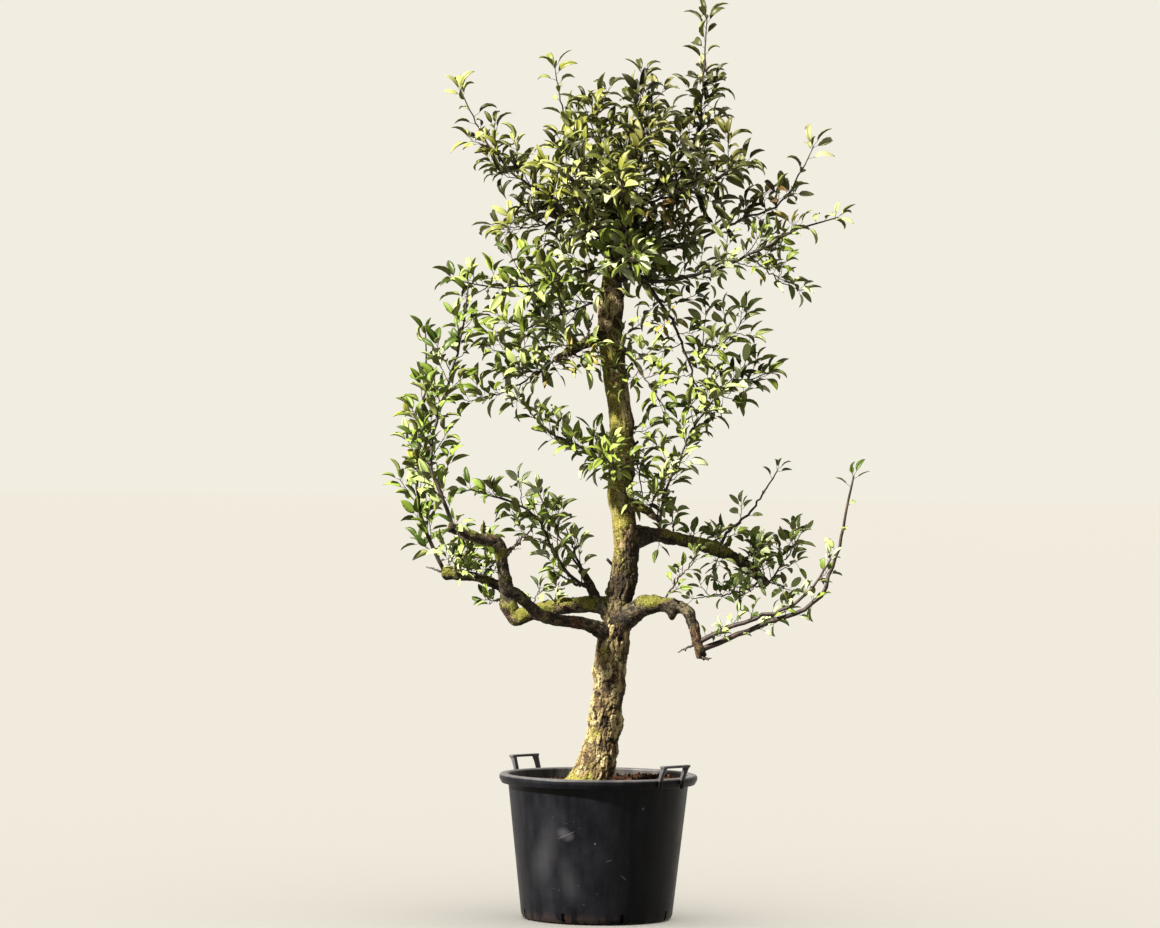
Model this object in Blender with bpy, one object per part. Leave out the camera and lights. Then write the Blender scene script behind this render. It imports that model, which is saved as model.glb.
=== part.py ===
"""A dwarf apple tree in a black nursery pot, with its trunk, boughs and leafy shoots as separate solids.

Metres, +Z up. The origin is the centre of the pot's flat underside, and the tree is seen from -Y.
"""

import math

import bmesh
import bpy
import numpy as np
from mathutils import Vector
from mathutils.bvhtree import BVHTree

# Clear distance between pieces that touch
GAP = 0.0003

# Pot
POT_HEIGHT = 0.394
RIM_RADIUS = 0.270
THROAT_RADIUS = 0.2480
BASE_RADIUS = 0.2065
BASE_ROUND = 0.014
FOOT_ANGLES = [math.radians(a) for a in (-90, -45, 0)]
WALL = 0.0040
LIP_DROP = 0.026
SKIRT = 0.0045
LIP_THICKNESS = 0.005
RIM_BEVEL = 0.004
THROAT_BEVEL = 0.003
POT_SIDES = 40
SLOTS = 8
SLOT_WIDTH = 0.010
SLOT_FOOT = 0.006
SLOT_TOP = 0.030
SLOT_DEPTH = 0.024
FIRST_SLOT = math.radians(-161)

# Two carrying handles, opposite each other
HANDLE_AZIMUTH = math.radians(-44)
HANDLE_HALF_SPAN = 0.050
HANDLE_RISE = 0.038
HANDLE_DROP = 0.027
HANDLE_BAR = 0.007
HANDLE_POST = 0.014
HANDLE_LEAN = math.radians(16)

# Soil, level round the trunk and heaped up on the right
SOIL_LEVEL = 0.366
SOIL_HEAP = 0.015
SOIL_RIPPLE = 0.003
SOIL_FLAT_RADIUS = 0.130
SOIL_SHOULDER = 0.185
SOIL_SPARE = 1.5 * GAP

# Trunk stations: height above the soil, offset to the right, diameter
TRUNK_STATIONS = (
    (0.000, -0.022, 0.104),
    (0.055, -0.004, 0.098),
    (0.135, 0.009, 0.091),
    (0.255, 0.024, 0.087),
    (0.375, 0.035, 0.089),
    (0.450, 0.048, 0.081),
    (0.520, 0.055, 0.074),
    (0.640, 0.069, 0.070),
    (0.735, 0.059, 0.067),
    (0.800, 0.049, 0.069),
    (0.965, 0.052, 0.066),
    (1.100, 0.034, 0.065),
    (1.235, 0.016, 0.069),
    (1.310, 0.022, 0.063),
    (1.395, 0.021, 0.053),
    (1.455, 0.025, 0.048),
    (1.510, 0.036, 0.036),
)
TRUNK_SWAY = 0.010
TRUNK_SWAY_PITCH = 1.0
TRUNK_SAMPLES = 240
TRUNK_RINGS = 21
TRUNK_SIDES = 12
FLARE_HEIGHT = 0.030
# Root toes: azimuth in degrees, how far each stands out at the soil
TOES = ((180, 0.036), (245, 0.012), (305, 0.008), (20, 0.004), (110, 0.014))

# Boughs: what each grows on and how far along it, its length, its radius at foot and tip, and its
# heading and climb in degrees, read at even steps along it. Heading 0 is to the right, 90 to the rear.
BOUGHS = {
    "bough_left_front_run": dict(
        on="trunk", at=0.270, length=0.405, radii=(0.017, 0.0150),
        heading=(215, 215, 220, 215, 205), climb=(22, 12, 4, 42, 22)),
    "bough_left_front_rise": dict(
        on="bough_left_front_run", at=0.965, length=0.125, radii=(0.0165, 0.0150),
        heading=(180,), climb=(82, 80, 75)),
    "bough_left_front_arm": dict(
        on="bough_left_front_rise", at=0.960, length=0.150, radii=(0.0145, 0.0130),
        heading=(195, 200, 195), climb=(15, 20, 16)),
    "bough_left_rear_run": dict(
        on="trunk", at=0.322, length=0.358, radii=(0.019, 0.0215),
        heading=(145, 145, 145, 155), climb=(5, -4, -10, -20)),
    "bough_left_rear_curl": dict(
        on="bough_left_rear_run", at=0.970, length=0.095, radii=(0.0215, 0.0165),
        heading=(165, 150, 175), climb=(50, 70, 78)),
    "bough_left_rear_arm": dict(
        on="bough_left_rear_curl", at=0.930, length=0.195, radii=(0.0120, 0.0125),
        heading=(155, 155, 155, 165), climb=(20, 20, 0, 30)),
    "bough_left_stub": dict(
        on="bough_left_rear_run", at=0.200, length=0.110, radii=(0.0115, 0.0100),
        heading=(180,), climb=(72, 55)),
    "bough_right_front_run": dict(
        on="trunk", at=0.300, length=0.240, radii=(0.024, 0.0165),
        heading=(325, 325, 330, 330), climb=(20, 20, 0, -28)),
    "bough_right_front_drop": dict(
        on="bough_right_front_run", at=0.950, length=0.135, radii=(0.0140, 0.0110),
        heading=(335, 330, 345), climb=(-55, -75, -70)),
    "bough_right_rear": dict(
        on="trunk", at=0.448, length=0.480, radii=(0.0185, 0.0145),
        heading=(35, 30, 25, 25, 20), climb=(10, -8, -14, -25, -50)),
    "bough_right_small": dict(
        on="trunk", at=0.521, length=0.150, radii=(0.0105, 0.0085),
        heading=(310, 330, 325), climb=(-20, -25, -35)),
    "bough_middle_left": dict(
        on="trunk", at=0.815, length=0.205, radii=(0.0150, 0.0085),
        heading=(215, 220, 215), climb=(-16, -25, -25)),
    "bough_crown_right": dict(
        on="trunk", at=0.975, length=0.220, radii=(0.0125, 0.0075),
        heading=(0,), climb=(58, 55, 55)),
    "bough_crown_left": dict(
        on="trunk", at=0.960, length=0.175, radii=(0.0105, 0.0070),
        heading=(210, 205, 190), climb=(50, 35, 15)),
    "bough_crown_rear": dict(
        on="trunk", at=0.950, length=0.230, radii=(0.0105, 0.0070),
        heading=(105, 115, 125), climb=(45, 45, 55)),
    "bough_crown_front": dict(
        on="trunk", at=0.940, length=0.235, radii=(0.0105, 0.0070),
        heading=(280, 290, 290), climb=(40, 50, 58)),
    "bough_crown_side": dict(
        on="trunk", at=0.935, length=0.245, radii=(0.0105, 0.0070),
        heading=(20, 15, 10), climb=(26, 15, 8)),
    "bough_crown_low": dict(
        on="trunk", at=0.915, length=0.140, radii=(0.0105, 0.0085),
        heading=(315, 320), climb=(8, -20)),
}
BOUGH_SIDES = 8
BOUGH_PITCH = 0.050
FOOT_SWELL = 0.35
FOOT_LENGTH = 0.030

# Leafy shoots: what each grows on and how far along it, its length, its heading and climb as above,
# how far its side twigs reach from it, the scale of its leaves and the spacing of its side twigs.
SHOOTS = {
    "leader": dict(
        on="bough_crown_right", at=1.0, length=0.445, heading=(0,),
        climb=(50, 45, 80, 90, 86, 88), reach=0.070, leaf=1.15),
    "centre_shoot": dict(
        on="bough_crown_front", at=1.0, length=0.250, heading=(330, 30, 55),
        climb=(85, 85, 80), reach=0.110, leaf=1.3, spacing=0.055),
    "centre_left_shoot": dict(
        on="bough_crown_rear", at=1.0, length=0.345, heading=(190, 205, 190),
        climb=(68, 72, 80), reach=0.080, leaf=1.25, spacing=0.055),
    "crown_top": dict(
        on="bough_crown_right", at=0.70, length=0.330, heading=(110, 95, 90),
        climb=(60, 80, 78), reach=0.110, leaf=1.3, spacing=0.055),
    "crown_top_left": dict(
        on="bough_crown_front", at=0.80, length=0.270, heading=(170, 170, 190),
        climb=(50, 75, 80), reach=0.110, leaf=1.3, spacing=0.055),
    "left_shoot": dict(
        on="bough_crown_left", at=1.0, length=0.420, heading=(205, 190, 180, 180, 180),
        climb=(55, 25, 45, 60, 65), reach=0.070, leaf=1.15, spacing=0.055),
    "left_wide": dict(
        on="bough_crown_left", at=0.82, length=0.235, heading=(135, 145, 155),
        climb=(0, -10, 5), reach=0.080, leaf=1.2),
    "right_shoot": dict(
        on="bough_crown_side", at=1.0, length=0.420, heading=(15, 10, 10, 0, 0),
        climb=(35, 25, 20, 60, 65), reach=0.075, leaf=1.15, spacing=0.055),
    "far_right": dict(
        on="bough_crown_low", at=1.0, length=0.520, heading=(345, 345, 350, 355, 0),
        climb=(0, 15, 25, 30, 12), reach=0.080, leaf=0.9,
        forks=[dict(at=0.52, length=0.170, heading=(0,), climb=(-42, -38, -15))]),
    "droop": dict(
        on="bough_crown_low", at=0.85, length=0.385, heading=(5, 5, 0, 0),
        climb=(-50, -60, -75, -55), reach=0.080,
        forks=[
            dict(at=0.55, length=0.215, heading=(345,), climb=(0, 15, 50, 60)),
            dict(at=0.82, length=0.200, heading=(5,), climb=(5, 15, 25)),
        ]),
    "upper_left": dict(
        on="trunk", at=0.935, length=0.440, heading=(225, 200, 185, 180),
        climb=(-5, -20, -5, 15), reach=0.090, leaf=1.2, spacing=0.055),
    "upper_left_rear": dict(
        on="trunk", at=0.875, length=0.350, heading=(140, 165, 175),
        climb=(-5, -25, -5), reach=0.090, leaf=1.2, spacing=0.055),
    "crown_front": dict(
        on="bough_crown_front", at=0.60, length=0.250, heading=(275, 265, 265),
        climb=(25, 25, 20), reach=0.110, leaf=1.3, spacing=0.055),
    "crown_rear": dict(
        on="bough_crown_rear", at=0.60, length=0.290, heading=(80, 75, 75),
        climb=(30, 35, 35), reach=0.110, leaf=1.3, spacing=0.055),
    "crown_front_right": dict(
        on="bough_crown_right", at=0.60, length=0.350, heading=(310, 315, 335),
        climb=(5, 15, 25), reach=0.100, leaf=1.3, spacing=0.055),
    "crown_rear_right": dict(
        on="bough_crown_right", at=0.85, length=0.290, heading=(45, 40, 30),
        climb=(5, 10, 20), reach=0.100, leaf=1.3, spacing=0.055),
    "crown_front_left": dict(
        on="bough_crown_left", at=0.50, length=0.270, heading=(255, 250, 245),
        climb=(20, 30, 40), reach=0.100, leaf=1.3, spacing=0.055),
    "low_front": dict(
        on="trunk", at=0.925, length=0.250, heading=(275, 280, 300),
        climb=(15, 10, 0), reach=0.090, leaf=1.3, spacing=0.055),
    "low_rear": dict(
        on="trunk", at=0.928, length=0.290, heading=(70, 70, 70),
        climb=(15, 10, 15), reach=0.090, leaf=1.3, spacing=0.055),
    "right_rise": dict(
        on="bough_right_small", at=1.0, length=0.370, heading=(305, 340, 0, 0),
        climb=(85, 65, 65, 50), reach=0.080),
    "right_hang": dict(
        on="trunk", at=0.665, length=0.235, heading=(40, 45, 35),
        climb=(-45, -75, -80), reach=0.060),
    "right_middle": dict(
        on="trunk", at=0.830, length=0.280, heading=(305, 315, 335),
        climb=(-40, -50, -50), reach=0.080),
    "middle_left": dict(
        on="bough_middle_left", at=1.0, length=0.235, heading=(190, 180, 180),
        climb=(-40, -30, -10), reach=0.080,
        forks=[dict(at=0.12, length=0.150, heading=(170,), climb=(25, 10))]),
    "front_left": dict(
        on="trunk", at=0.590, length=0.325, heading=(230, 200, 200, 190),
        climb=(5, 15, 30, 55), reach=0.060),
    "middle_front": dict(
        on="trunk", at=0.553, length=0.220, heading=(260, 260),
        climb=(15, 15), reach=0.080),
    "middle_rear": dict(
        on="trunk", at=0.566, length=0.250, heading=(95, 95),
        climb=(15, 15), reach=0.080),
    "outer_whip": dict(
        on="bough_left_rear_arm", at=1.0, length=0.650, heading=(170, 190, 275, 300, 305, 240),
        climb=(60, 70, 80, 80, 80, 85), reach=0.045, leaf=0.85),
    "inner_whip": dict(
        on="bough_left_front_arm", at=0.88, length=0.670, heading=(170, 160, 40, 30, 35, 40),
        climb=(70, 65, 75, 70, 75, 85), reach=0.050, leaf=0.85),
    "stub_shoot": dict(
        on="bough_left_stub", at=1.0, length=0.215, heading=(180,),
        climb=(55, 60, 65), reach=0.040, leaf=0.8),
    "inner_shoot": dict(
        on="bough_left_stub", at=0.45, length=0.440, heading=(200, 210, 215, 190, 190),
        climb=(15, 55, 60, 20, 15), reach=0.060),
    "left_tuft": dict(
        on="bough_left_rear_arm", at=0.85, length=0.160, heading=(290, 310),
        climb=(40, 20), reach=0.050, leaf=1.2),
    "right_tuft": dict(
        on="bough_right_rear", at=1.0, length=0.150, heading=(20, 25, 10),
        climb=(50, 55, 60), reach=0.070, leaf=1.2),
    "up_shoot": dict(
        on="bough_right_rear", at=0.63, length=0.255, heading=(20, 15, 10, 0),
        climb=(85, 35, 55, 60), reach=0.045, leaf=0.85),
    "under_shoot": dict(
        on="bough_right_rear", at=0.95, length=0.210, heading=(225, 215, 195),
        climb=(-35, -5, -10), reach=0.045, leaf=0.8),
    "low_shoot": dict(
        on="bough_right_front_drop", at=0.68, length=0.420, heading=(340, 345, 350),
        climb=(30, 15, 65), reach=0.045, leaf=0.85),
    "low_whip": dict(
        on="bough_right_front_drop", at=0.83, length=0.670, heading=(10, 0, 350, 0, 0, 0),
        climb=(20, 25, 18, 68, 80, 78), reach=0.035, leaf=0.8),
    "small_shoot": dict(
        on="bough_right_front_run", at=0.60, length=0.155, heading=(355, 0),
        climb=(55, 55), reach=0.040, leaf=0.8),
}
SHOOT_RADII = (0.0060, 0.0030)
TWIG_RADII = (0.0042, 0.0026)
SHOOT_PITCH = 0.060
TWIG_SIDES = 3
TWIG_SPACING = 0.078
TWIG_ANGLE = math.radians(55)
TWIG_LIFT = 0.12
LEAF_SPACING = 0.052
LEAF_LENGTH = (0.076, 0.094)
LEAF_WIDTH = 0.54
LEAF_WIDEST = 0.45
LEAF_FOLD = 0.04
LEAF_ROOT = 0.40
LEAF_SINK = 0.0002
LEAF_TIP_BACK = 0.004
LEAF_DROOP = 0.18
LEAF_ANGLE = math.radians(58)
LEAF_TIP_ANGLE = math.radians(25)
LEAF_ROLL = math.radians(50)
LEAF_EDGES = ((0, 1), (0, 2), (0, 3), (1, 2), (1, 3), (2, 3))
GOLDEN_TURN = 0.381966

# A side twig that doesn't fit in its shoot's space is tried shorter, and none grows near the shoot's tip
TWIG_CUTS = (1.0, 0.7, 0.45)
LAST_TWIG = 0.9

# A limb's foot is cut back by its parent widened a little past the gap
CUT_SPARE = 1.2 * GAP

# A shoot is moved out in steps to its seat, tested at shares of its first edges and by a slanting ray
SEAT_CLEAR = 1.15 * GAP
SEAT_STEP = 0.0002
SEAT_SHARES = (0.05, 0.2, 0.5, 0.8)
RAY = (0.13, 0.21, 0.97)
RAY_STEP = 1e-6

# A twig or leaf keeps this far from limbs, and from the border between two shoots
LIMB_CLEARANCE = 0.003
BORDER_CLEARANCE = 0.0015


def clear_scene():
    for thing in list(bpy.data.objects):
        bpy.data.objects.remove(thing)


def material(name, colour, roughness):
    found = bpy.data.materials.new(name)
    found.use_nodes = True
    shader = found.node_tree.nodes["Principled BSDF"]
    shader.inputs["Base Color"].default_value = (*colour, 1)
    shader.inputs["Roughness"].default_value = roughness
    shader.inputs["Metallic"].default_value = 0
    return found


def add_object(name, verts, faces, look=None):
    mesh = bpy.data.meshes.new(name)
    mesh.from_pydata([tuple(map(float, v)) for v in verts], [], faces)
    mesh.update()
    thing = bpy.data.objects.new(name, mesh)
    bpy.context.collection.objects.link(thing)
    if look:
        mesh.materials.append(look)
    return thing


def add_from_bmesh(name, bm, look=None):
    bmesh.ops.recalc_face_normals(bm, faces=bm.faces)
    mesh = bpy.data.meshes.new(name)
    bm.to_mesh(mesh)
    bm.free()
    thing = bpy.data.objects.new(name, mesh)
    bpy.context.collection.objects.link(thing)
    if look:
        mesh.materials.append(look)
    return thing


def apply_modifiers(thing):
    """Puts the evaluated shape in the mesh's place."""
    depsgraph = bpy.context.evaluated_depsgraph_get()
    shape = bpy.data.meshes.new_from_object(thing.evaluated_get(depsgraph))
    thing.modifiers.clear()
    thing.data = shape


def loft(rings):
    """Joins rings of equal count end to end and closes both ends."""
    count = len(rings[0])
    verts = [point for ring in rings for point in ring]
    faces = []
    for k in range(len(rings) - 1):
        for i in range(count):
            j = (i + 1) % count
            faces.append((k * count + i, k * count + j, (k + 1) * count + j, (k + 1) * count + i))
    faces.append(tuple(reversed(range(count))))
    last = (len(rings) - 1) * count
    faces.append(tuple(range(last, last + count)))
    return verts, faces


def read_evenly(values, t):
    """A value from a list spread evenly over 0 to 1."""
    return np.interp(t, np.linspace(0, 1, len(values)), values)


def unit(v):
    return v / max(np.linalg.norm(v), 1e-12)


def direction(heading, climb):
    h, c = math.radians(heading), math.radians(climb)
    return np.array([math.cos(c) * math.cos(h), math.cos(c) * math.sin(h), math.sin(c)])


def course(start, length, heading, climb, pitch):
    """Points a pitch apart along a limb that turns evenly through its headings and climbs."""
    steps = max(2, round(length / pitch))
    unwound = np.degrees(np.unwrap(np.radians(heading)))
    points = [np.array(start, dtype=float)]
    for k in range(steps):
        t = (k + 0.5) / steps
        points.append(points[-1] + direction(read_evenly(unwound, t), read_evenly(climb, t)) * length / steps)
    return np.array(points)


def frames(points):
    """Tangent and two side vectors at each point, carried along without twisting."""
    tangents = [unit(points[min(k + 1, len(points) - 1)] - points[max(k - 1, 0)]) for k in range(len(points))]
    side = unit(np.cross(tangents[0], (0.31, 0.22, 0.92) if abs(tangents[0][2]) < 0.9 else (1, 0, 0)))
    result = []
    for tangent in tangents:
        side = unit(side - tangent * np.dot(side, tangent))
        result.append((tangent, side, np.cross(tangent, side)))
    return result


def tube_rings(points, radii, sides, spare=0.0):
    """Round sections along a course. The spare widens them and lengthens both ends, for a cutter."""
    turn = np.arange(sides) * 2 * math.pi / sides
    rings = []
    placed = list(zip(points, frames(points), radii))
    for k, (point, (tangent, side, up), radius) in enumerate(placed):
        push = -spare if k == 0 else spare if k == len(placed) - 1 else 0.0
        centre = point + tangent * push
        rings.append([centre + (side * math.cos(a) + up * math.sin(a)) * (radius + spare) for a in turn])
    return rings


def catmull(stations, t):
    """A smooth curve through stations spread evenly over 0 to 1."""
    s = np.array(stations)
    x = min(max(t, 0.0), 1.0) * (len(s) - 1)
    k = min(int(x), len(s) - 2)
    u = x - k
    a, b, c, d = s[max(k - 1, 0)], s[k], s[k + 1], s[min(k + 2, len(s) - 1)]
    return 0.5 * (2 * b + (c - a) * u + (2 * a - 5 * b + 4 * c - d) * u**2 + (3 * b - a - 3 * c + d) * u**3)


class Limb:
    """A limb's centre line and its radius along it, which whatever grows on it reads."""

    def __init__(self, points, radii):
        self.points = np.array(points)
        self.radii = np.array(radii)
        steps = np.linalg.norm(np.diff(self.points, axis=0), axis=1)
        self.place = np.concatenate([[0], np.cumsum(steps)]) / steps.sum()

    def at(self, t):
        return np.array([np.interp(t, self.place, self.points[:, i]) for i in range(3)])

    def clearance(self, spots):
        """Distance of each spot from the limb's surface."""
        a, b = self.points[:-1], self.points[1:]
        along = b - a
        t = ((spots[:, None] - a) * along).sum(-1) / (along**2).sum(-1)
        t = t.clip(0, 1)
        nearest = a + t[..., None] * along
        radius = self.radii[:-1] + t * (self.radii[1:] - self.radii[:-1])
        return (np.linalg.norm(spots[:, None] - nearest, axis=-1) - radius).min(axis=1)


def rounded_foot(radius, rounding, floor):
    """Radius and height along the rounded corner between a flat bottom and a wall."""
    return [
        (radius - rounding + rounding * math.cos(a), floor + rounding + rounding * math.sin(a))
        for a in FOOT_ANGLES
    ]


def inner_profile():
    """Radius and height along the pot's inside, from the middle of its bottom to its throat."""
    foot = rounded_foot(BASE_RADIUS - WALL, BASE_ROUND - WALL / 2, WALL)
    return [(0, WALL), *foot, (THROAT_RADIUS - WALL, POT_HEIGHT - THROAT_BEVEL)]


def pot_profile():
    """Radius and height round the pot's section: up the outside from the underside's middle and back in."""
    skirt = RIM_RADIUS - SKIRT
    lip_under = POT_HEIGHT - LIP_THICKNESS
    outside = [
        (0, 0),
        *rounded_foot(BASE_RADIUS, BASE_ROUND, 0),
        (THROAT_RADIUS, lip_under),
        (skirt, lip_under),
        (skirt, POT_HEIGHT - LIP_DROP),
        (RIM_RADIUS, POT_HEIGHT - LIP_DROP),
        (RIM_RADIUS, POT_HEIGHT - RIM_BEVEL),
        (RIM_RADIUS - RIM_BEVEL, POT_HEIGHT),
        (THROAT_RADIUS, POT_HEIGHT),
    ]
    return outside + inner_profile()[::-1]


def spin_profile(name, outline, look):
    bm = bmesh.new()
    verts = [bm.verts.new((r, 0, z)) for r, z in outline]
    edges = [bm.edges.new(pair) for pair in zip(verts, verts[1:])]
    middle, up = (0, 0, 0), (0, 0, 1)
    bmesh.ops.spin(
        bm, geom=verts + edges, cent=middle, axis=up, angle=2 * math.pi, steps=POT_SIDES, use_merge=True
    )
    bmesh.ops.remove_doubles(bm, verts=bm.verts, dist=1e-6)
    return add_from_bmesh(name, bm, look)


def make_pot(look):
    pot = spin_profile("pot", pot_profile(), look)
    bm = bmesh.new()
    reach = BASE_RADIUS - SLOT_DEPTH / 4
    for k in range(SLOTS):
        azimuth = FIRST_SLOT + k * 2 * math.pi / SLOTS
        out = Vector((math.cos(azimuth), math.sin(azimuth), 0))
        made = bmesh.ops.create_cube(bm, size=1)["verts"]
        bmesh.ops.scale(bm, verts=made, vec=(SLOT_DEPTH, SLOT_WIDTH, SLOT_TOP - SLOT_FOOT))
        turn = out.to_track_quat("X", "Z").to_matrix()
        bmesh.ops.rotate(bm, verts=made, cent=(0, 0, 0), matrix=turn)
        bmesh.ops.translate(bm, verts=made, vec=out * reach + Vector((0, 0, (SLOT_TOP + SLOT_FOOT) / 2)))
    cutter = add_from_bmesh("slot_cutter", bm)
    cut = pot.modifiers.new("slots", "BOOLEAN")
    cut.object = cutter
    cut.operation = "DIFFERENCE"
    apply_modifiers(pot)
    bpy.data.objects.remove(cutter)
    return pot


def soil_height(x, y):
    """Level near the trunk, heaped towards the right, with a gentle unevenness."""
    away = min(max((math.hypot(x, y) - SOIL_FLAT_RADIUS) / (SOIL_SHOULDER - SOIL_FLAT_RADIUS), 0), 1)
    heap = SOIL_HEAP * min(max(x / SOIL_FLAT_RADIUS, 0), 1)
    ripple = SOIL_RIPPLE * math.sin(31 * x + 1.3) * math.cos(27 * y)
    return SOIL_LEVEL + away * (heap + ripple)


def make_soil(look):
    """Fills the pot to just inside its wall, with a level top round the trunk."""
    turn = np.arange(POT_SIDES) * 2 * math.pi / POT_SIDES
    *low, foot, throat = inner_profile()
    slope = (throat[0] - foot[0]) / (throat[1] - foot[1])
    spare = GAP / math.cos(math.pi / POT_SIDES)

    def point(r, a, z):
        return np.array([r * math.cos(a), r * math.sin(a), z])

    rings = [[point(r - spare, a, z + GAP) for a in turn] for r, z in low[1:]]
    rings.append([point(foot[0] - SOIL_SPARE, a, foot[1]) for a in turn])
    edge = []
    for a in turn:
        z = soil_height(THROAT_RADIUS * math.cos(a), THROAT_RADIUS * math.sin(a))
        edge.append(point(foot[0] + slope * (z - foot[1]) - SOIL_SPARE, a, z))
    rings.append(edge)
    for r in (SOIL_SHOULDER, SOIL_FLAT_RADIUS):
        rings.append([point(r, a, soil_height(r * math.cos(a), r * math.sin(a))) for a in turn])
    return add_object("soil", *loft(rings), look)


def make_handle(name, azimuth, look):
    """Two posts and a bar: each post stands against the rim, tapers to its foot and leans outwards."""
    top = POT_HEIGHT + HANDLE_RISE
    inner_face = math.sqrt(RIM_RADIUS**2 - (HANDLE_HALF_SPAN - HANDLE_POST) ** 2) + GAP
    span, post = HANDLE_HALF_SPAN, HANDLE_POST
    lean = math.tan(HANDLE_LEAN)

    def section(near, far, depth, near_z, far_z):
        """Four corners: the post's inner and outer edge, each at the pot's side and away from it."""
        points = []
        for along, z in ((near, near_z), (far, far_z)):
            back = inner_face + lean * max(z - POT_HEIGHT, 0)
            points.append([(along, back, z), (along, back + depth, z)])
        (a, b), (c, d) = points
        return [a, b, d, c]

    foot_z = POT_HEIGHT - HANDLE_DROP
    side = [
        section(span - post + 0.002, span - 0.003, 0.005, foot_z, foot_z),
        section(span - post, span, 0.009, POT_HEIGHT, POT_HEIGHT),
        section(span - post, span, 0.015, top - HANDLE_BAR, top),
    ]
    other = [[(-x, y, z) for x, y, z in ring] for ring in reversed(side)]
    c, s = math.cos(azimuth), math.sin(azimuth)
    rings = [[np.array([y * c - x * s, y * s + x * c, z]) for x, y, z in ring] for ring in side + other]
    thing = add_object(name, *loft(rings), look)
    point_faces_out(thing)
    return thing


def point_faces_out(thing):
    bm = bmesh.new()
    bm.from_mesh(thing.data)
    bmesh.ops.recalc_face_normals(bm, faces=bm.faces)
    bm.to_mesh(thing.data)
    bm.free()


def trunk_limb():
    height = [station[0] for station in TRUNK_STATIONS]
    ground = SOIL_LEVEL + GAP
    levels = np.linspace(0, height[-1], TRUNK_SAMPLES)
    smooth = np.array([catmull(TRUNK_STATIONS, t) for t in np.linspace(0, 1, TRUNK_SAMPLES)])
    x = np.interp(levels, smooth[:, 0], smooth[:, 1])
    r = np.interp(levels, smooth[:, 0], smooth[:, 2]) / 2
    y = TRUNK_SWAY * np.sin(levels * 2 * math.pi / TRUNK_SWAY_PITCH)
    keep = np.linspace(0, len(levels) - 1, TRUNK_RINGS).round().astype(int)
    return Limb(np.stack([x, y, ground + levels], axis=1)[keep], r[keep])


def trunk_rings(limb, spare=0.0):
    """Level sections, with root toes that die away just above the soil."""
    turn = np.arange(TRUNK_SIDES) * 2 * math.pi / TRUNK_SIDES
    rings = []
    for k, (point, radius) in enumerate(zip(limb.points, limb.radii)):
        push = -spare if k == 0 else spare if k == len(limb.points) - 1 else 0.0
        flare = math.exp(-(point[2] - limb.points[0][2]) / FLARE_HEIGHT)
        ring = []
        for a in turn:
            toe = sum(size * max(math.cos(a - math.radians(at)), 0) ** 6 for at, size in TOES)
            reach = radius + spare + toe * flare
            ring.append(point + np.array([reach * math.cos(a), reach * math.sin(a), push]))
        rings.append(ring)
    return rings


def bough_limb(rule, parent):
    start = parent.at(rule["at"])
    points = course(start, rule["length"], rule["heading"], rule["climb"], BOUGH_PITCH)
    foot, tip = rule["radii"]
    t = np.linspace(0, 1, len(points))
    reach = t * rule["length"]
    hidden = np.interp(rule["at"], parent.place, parent.radii)
    swell = 1 + FOOT_SWELL * np.exp(-np.maximum(reach - hidden, 0) / FOOT_LENGTH)
    return Limb(points, (foot + (tip - foot) * t) * swell)


def cut_clear(thing, rings):
    """Cuts a limb's foot back to its parent, which the rings show a little widened."""
    cutter = add_object("limb_cutter", *loft(rings))
    cutter.hide_render = True
    cutter.display_type = "WIRE"
    cut = thing.modifiers.new("seat", "BOOLEAN")
    cut.object = cutter
    cut.operation = "DIFFERENCE"
    apply_modifiers(thing)
    bpy.data.objects.remove(cutter)


def largest_body(thing):
    """Keeps the widest connected body of a mesh and drops the scraps."""
    bm = bmesh.new()
    bm.from_mesh(thing.data)
    seen, bodies = set(), []
    for first in bm.verts:
        if first in seen:
            continue
        seen.add(first)
        body, queue = [first], [first]
        while queue:
            for edge in queue.pop().link_edges:
                for vert in edge.verts:
                    if vert not in seen:
                        seen.add(vert)
                        body.append(vert)
                        queue.append(vert)
        bodies.append(body)
    for body in sorted(bodies, key=len)[:-1]:
        bmesh.ops.delete(bm, geom=body, context="VERTS")
    bm.to_mesh(thing.data)
    bm.free()


def is_inside(tree, point):
    """Counts the faces that a ray from the point crosses: an odd number means that it starts inside."""
    way = Vector(RAY)
    crossed = 0
    spot = tree.ray_cast(point, way)[0]
    while spot is not None:
        crossed += 1
        spot = tree.ray_cast(spot + way * RAY_STEP, way)[0]
    return crossed % 2 == 1


def seat_of(limb_mesh, rule, start, radius):
    """Moves a shoot's start along its first step until its end stands clear of the limb it grows on."""
    tree = BVHTree.FromPolygons([v.co for v in limb_mesh.vertices], [p.vertices for p in limb_mesh.polygons])
    points = course(start, rule["length"], rule["heading"], rule["climb"], SHOOT_PITCH)
    verts, faces = loft(tube_rings(points, np.full(len(points), radius), TWIG_SIDES)[:2])
    way = unit(points[1] - points[0])
    sides = range(TWIG_SIDES)
    rim = [(k, (k + 1) % TWIG_SIDES) for k in sides]
    spots = between(verts, rim + [(k, k + TWIG_SIDES) for k in sides], SEAT_SHARES)
    reach = 0.0
    while True:
        push = way * reach
        clear = min(tree.find_nearest(Vector(spot + push))[3] for spot in spots)
        first_step = BVHTree.FromPolygons([Vector(v + push) for v in verts], faces)
        if clear > SEAT_CLEAR and not first_step.overlap(tree) and not is_inside(tree, Vector(start + push)):
            return start + push
        reach += SEAT_STEP


def between(spots, pairs, shares=(0.2, 0.4, 0.6, 0.8)):
    """The spots themselves and more along the lines between pairs of them."""
    more = [spots[i] + (spots[j] - spots[i]) * t for i, j in pairs for t in shares]
    return np.array([*spots, *more])


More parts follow.
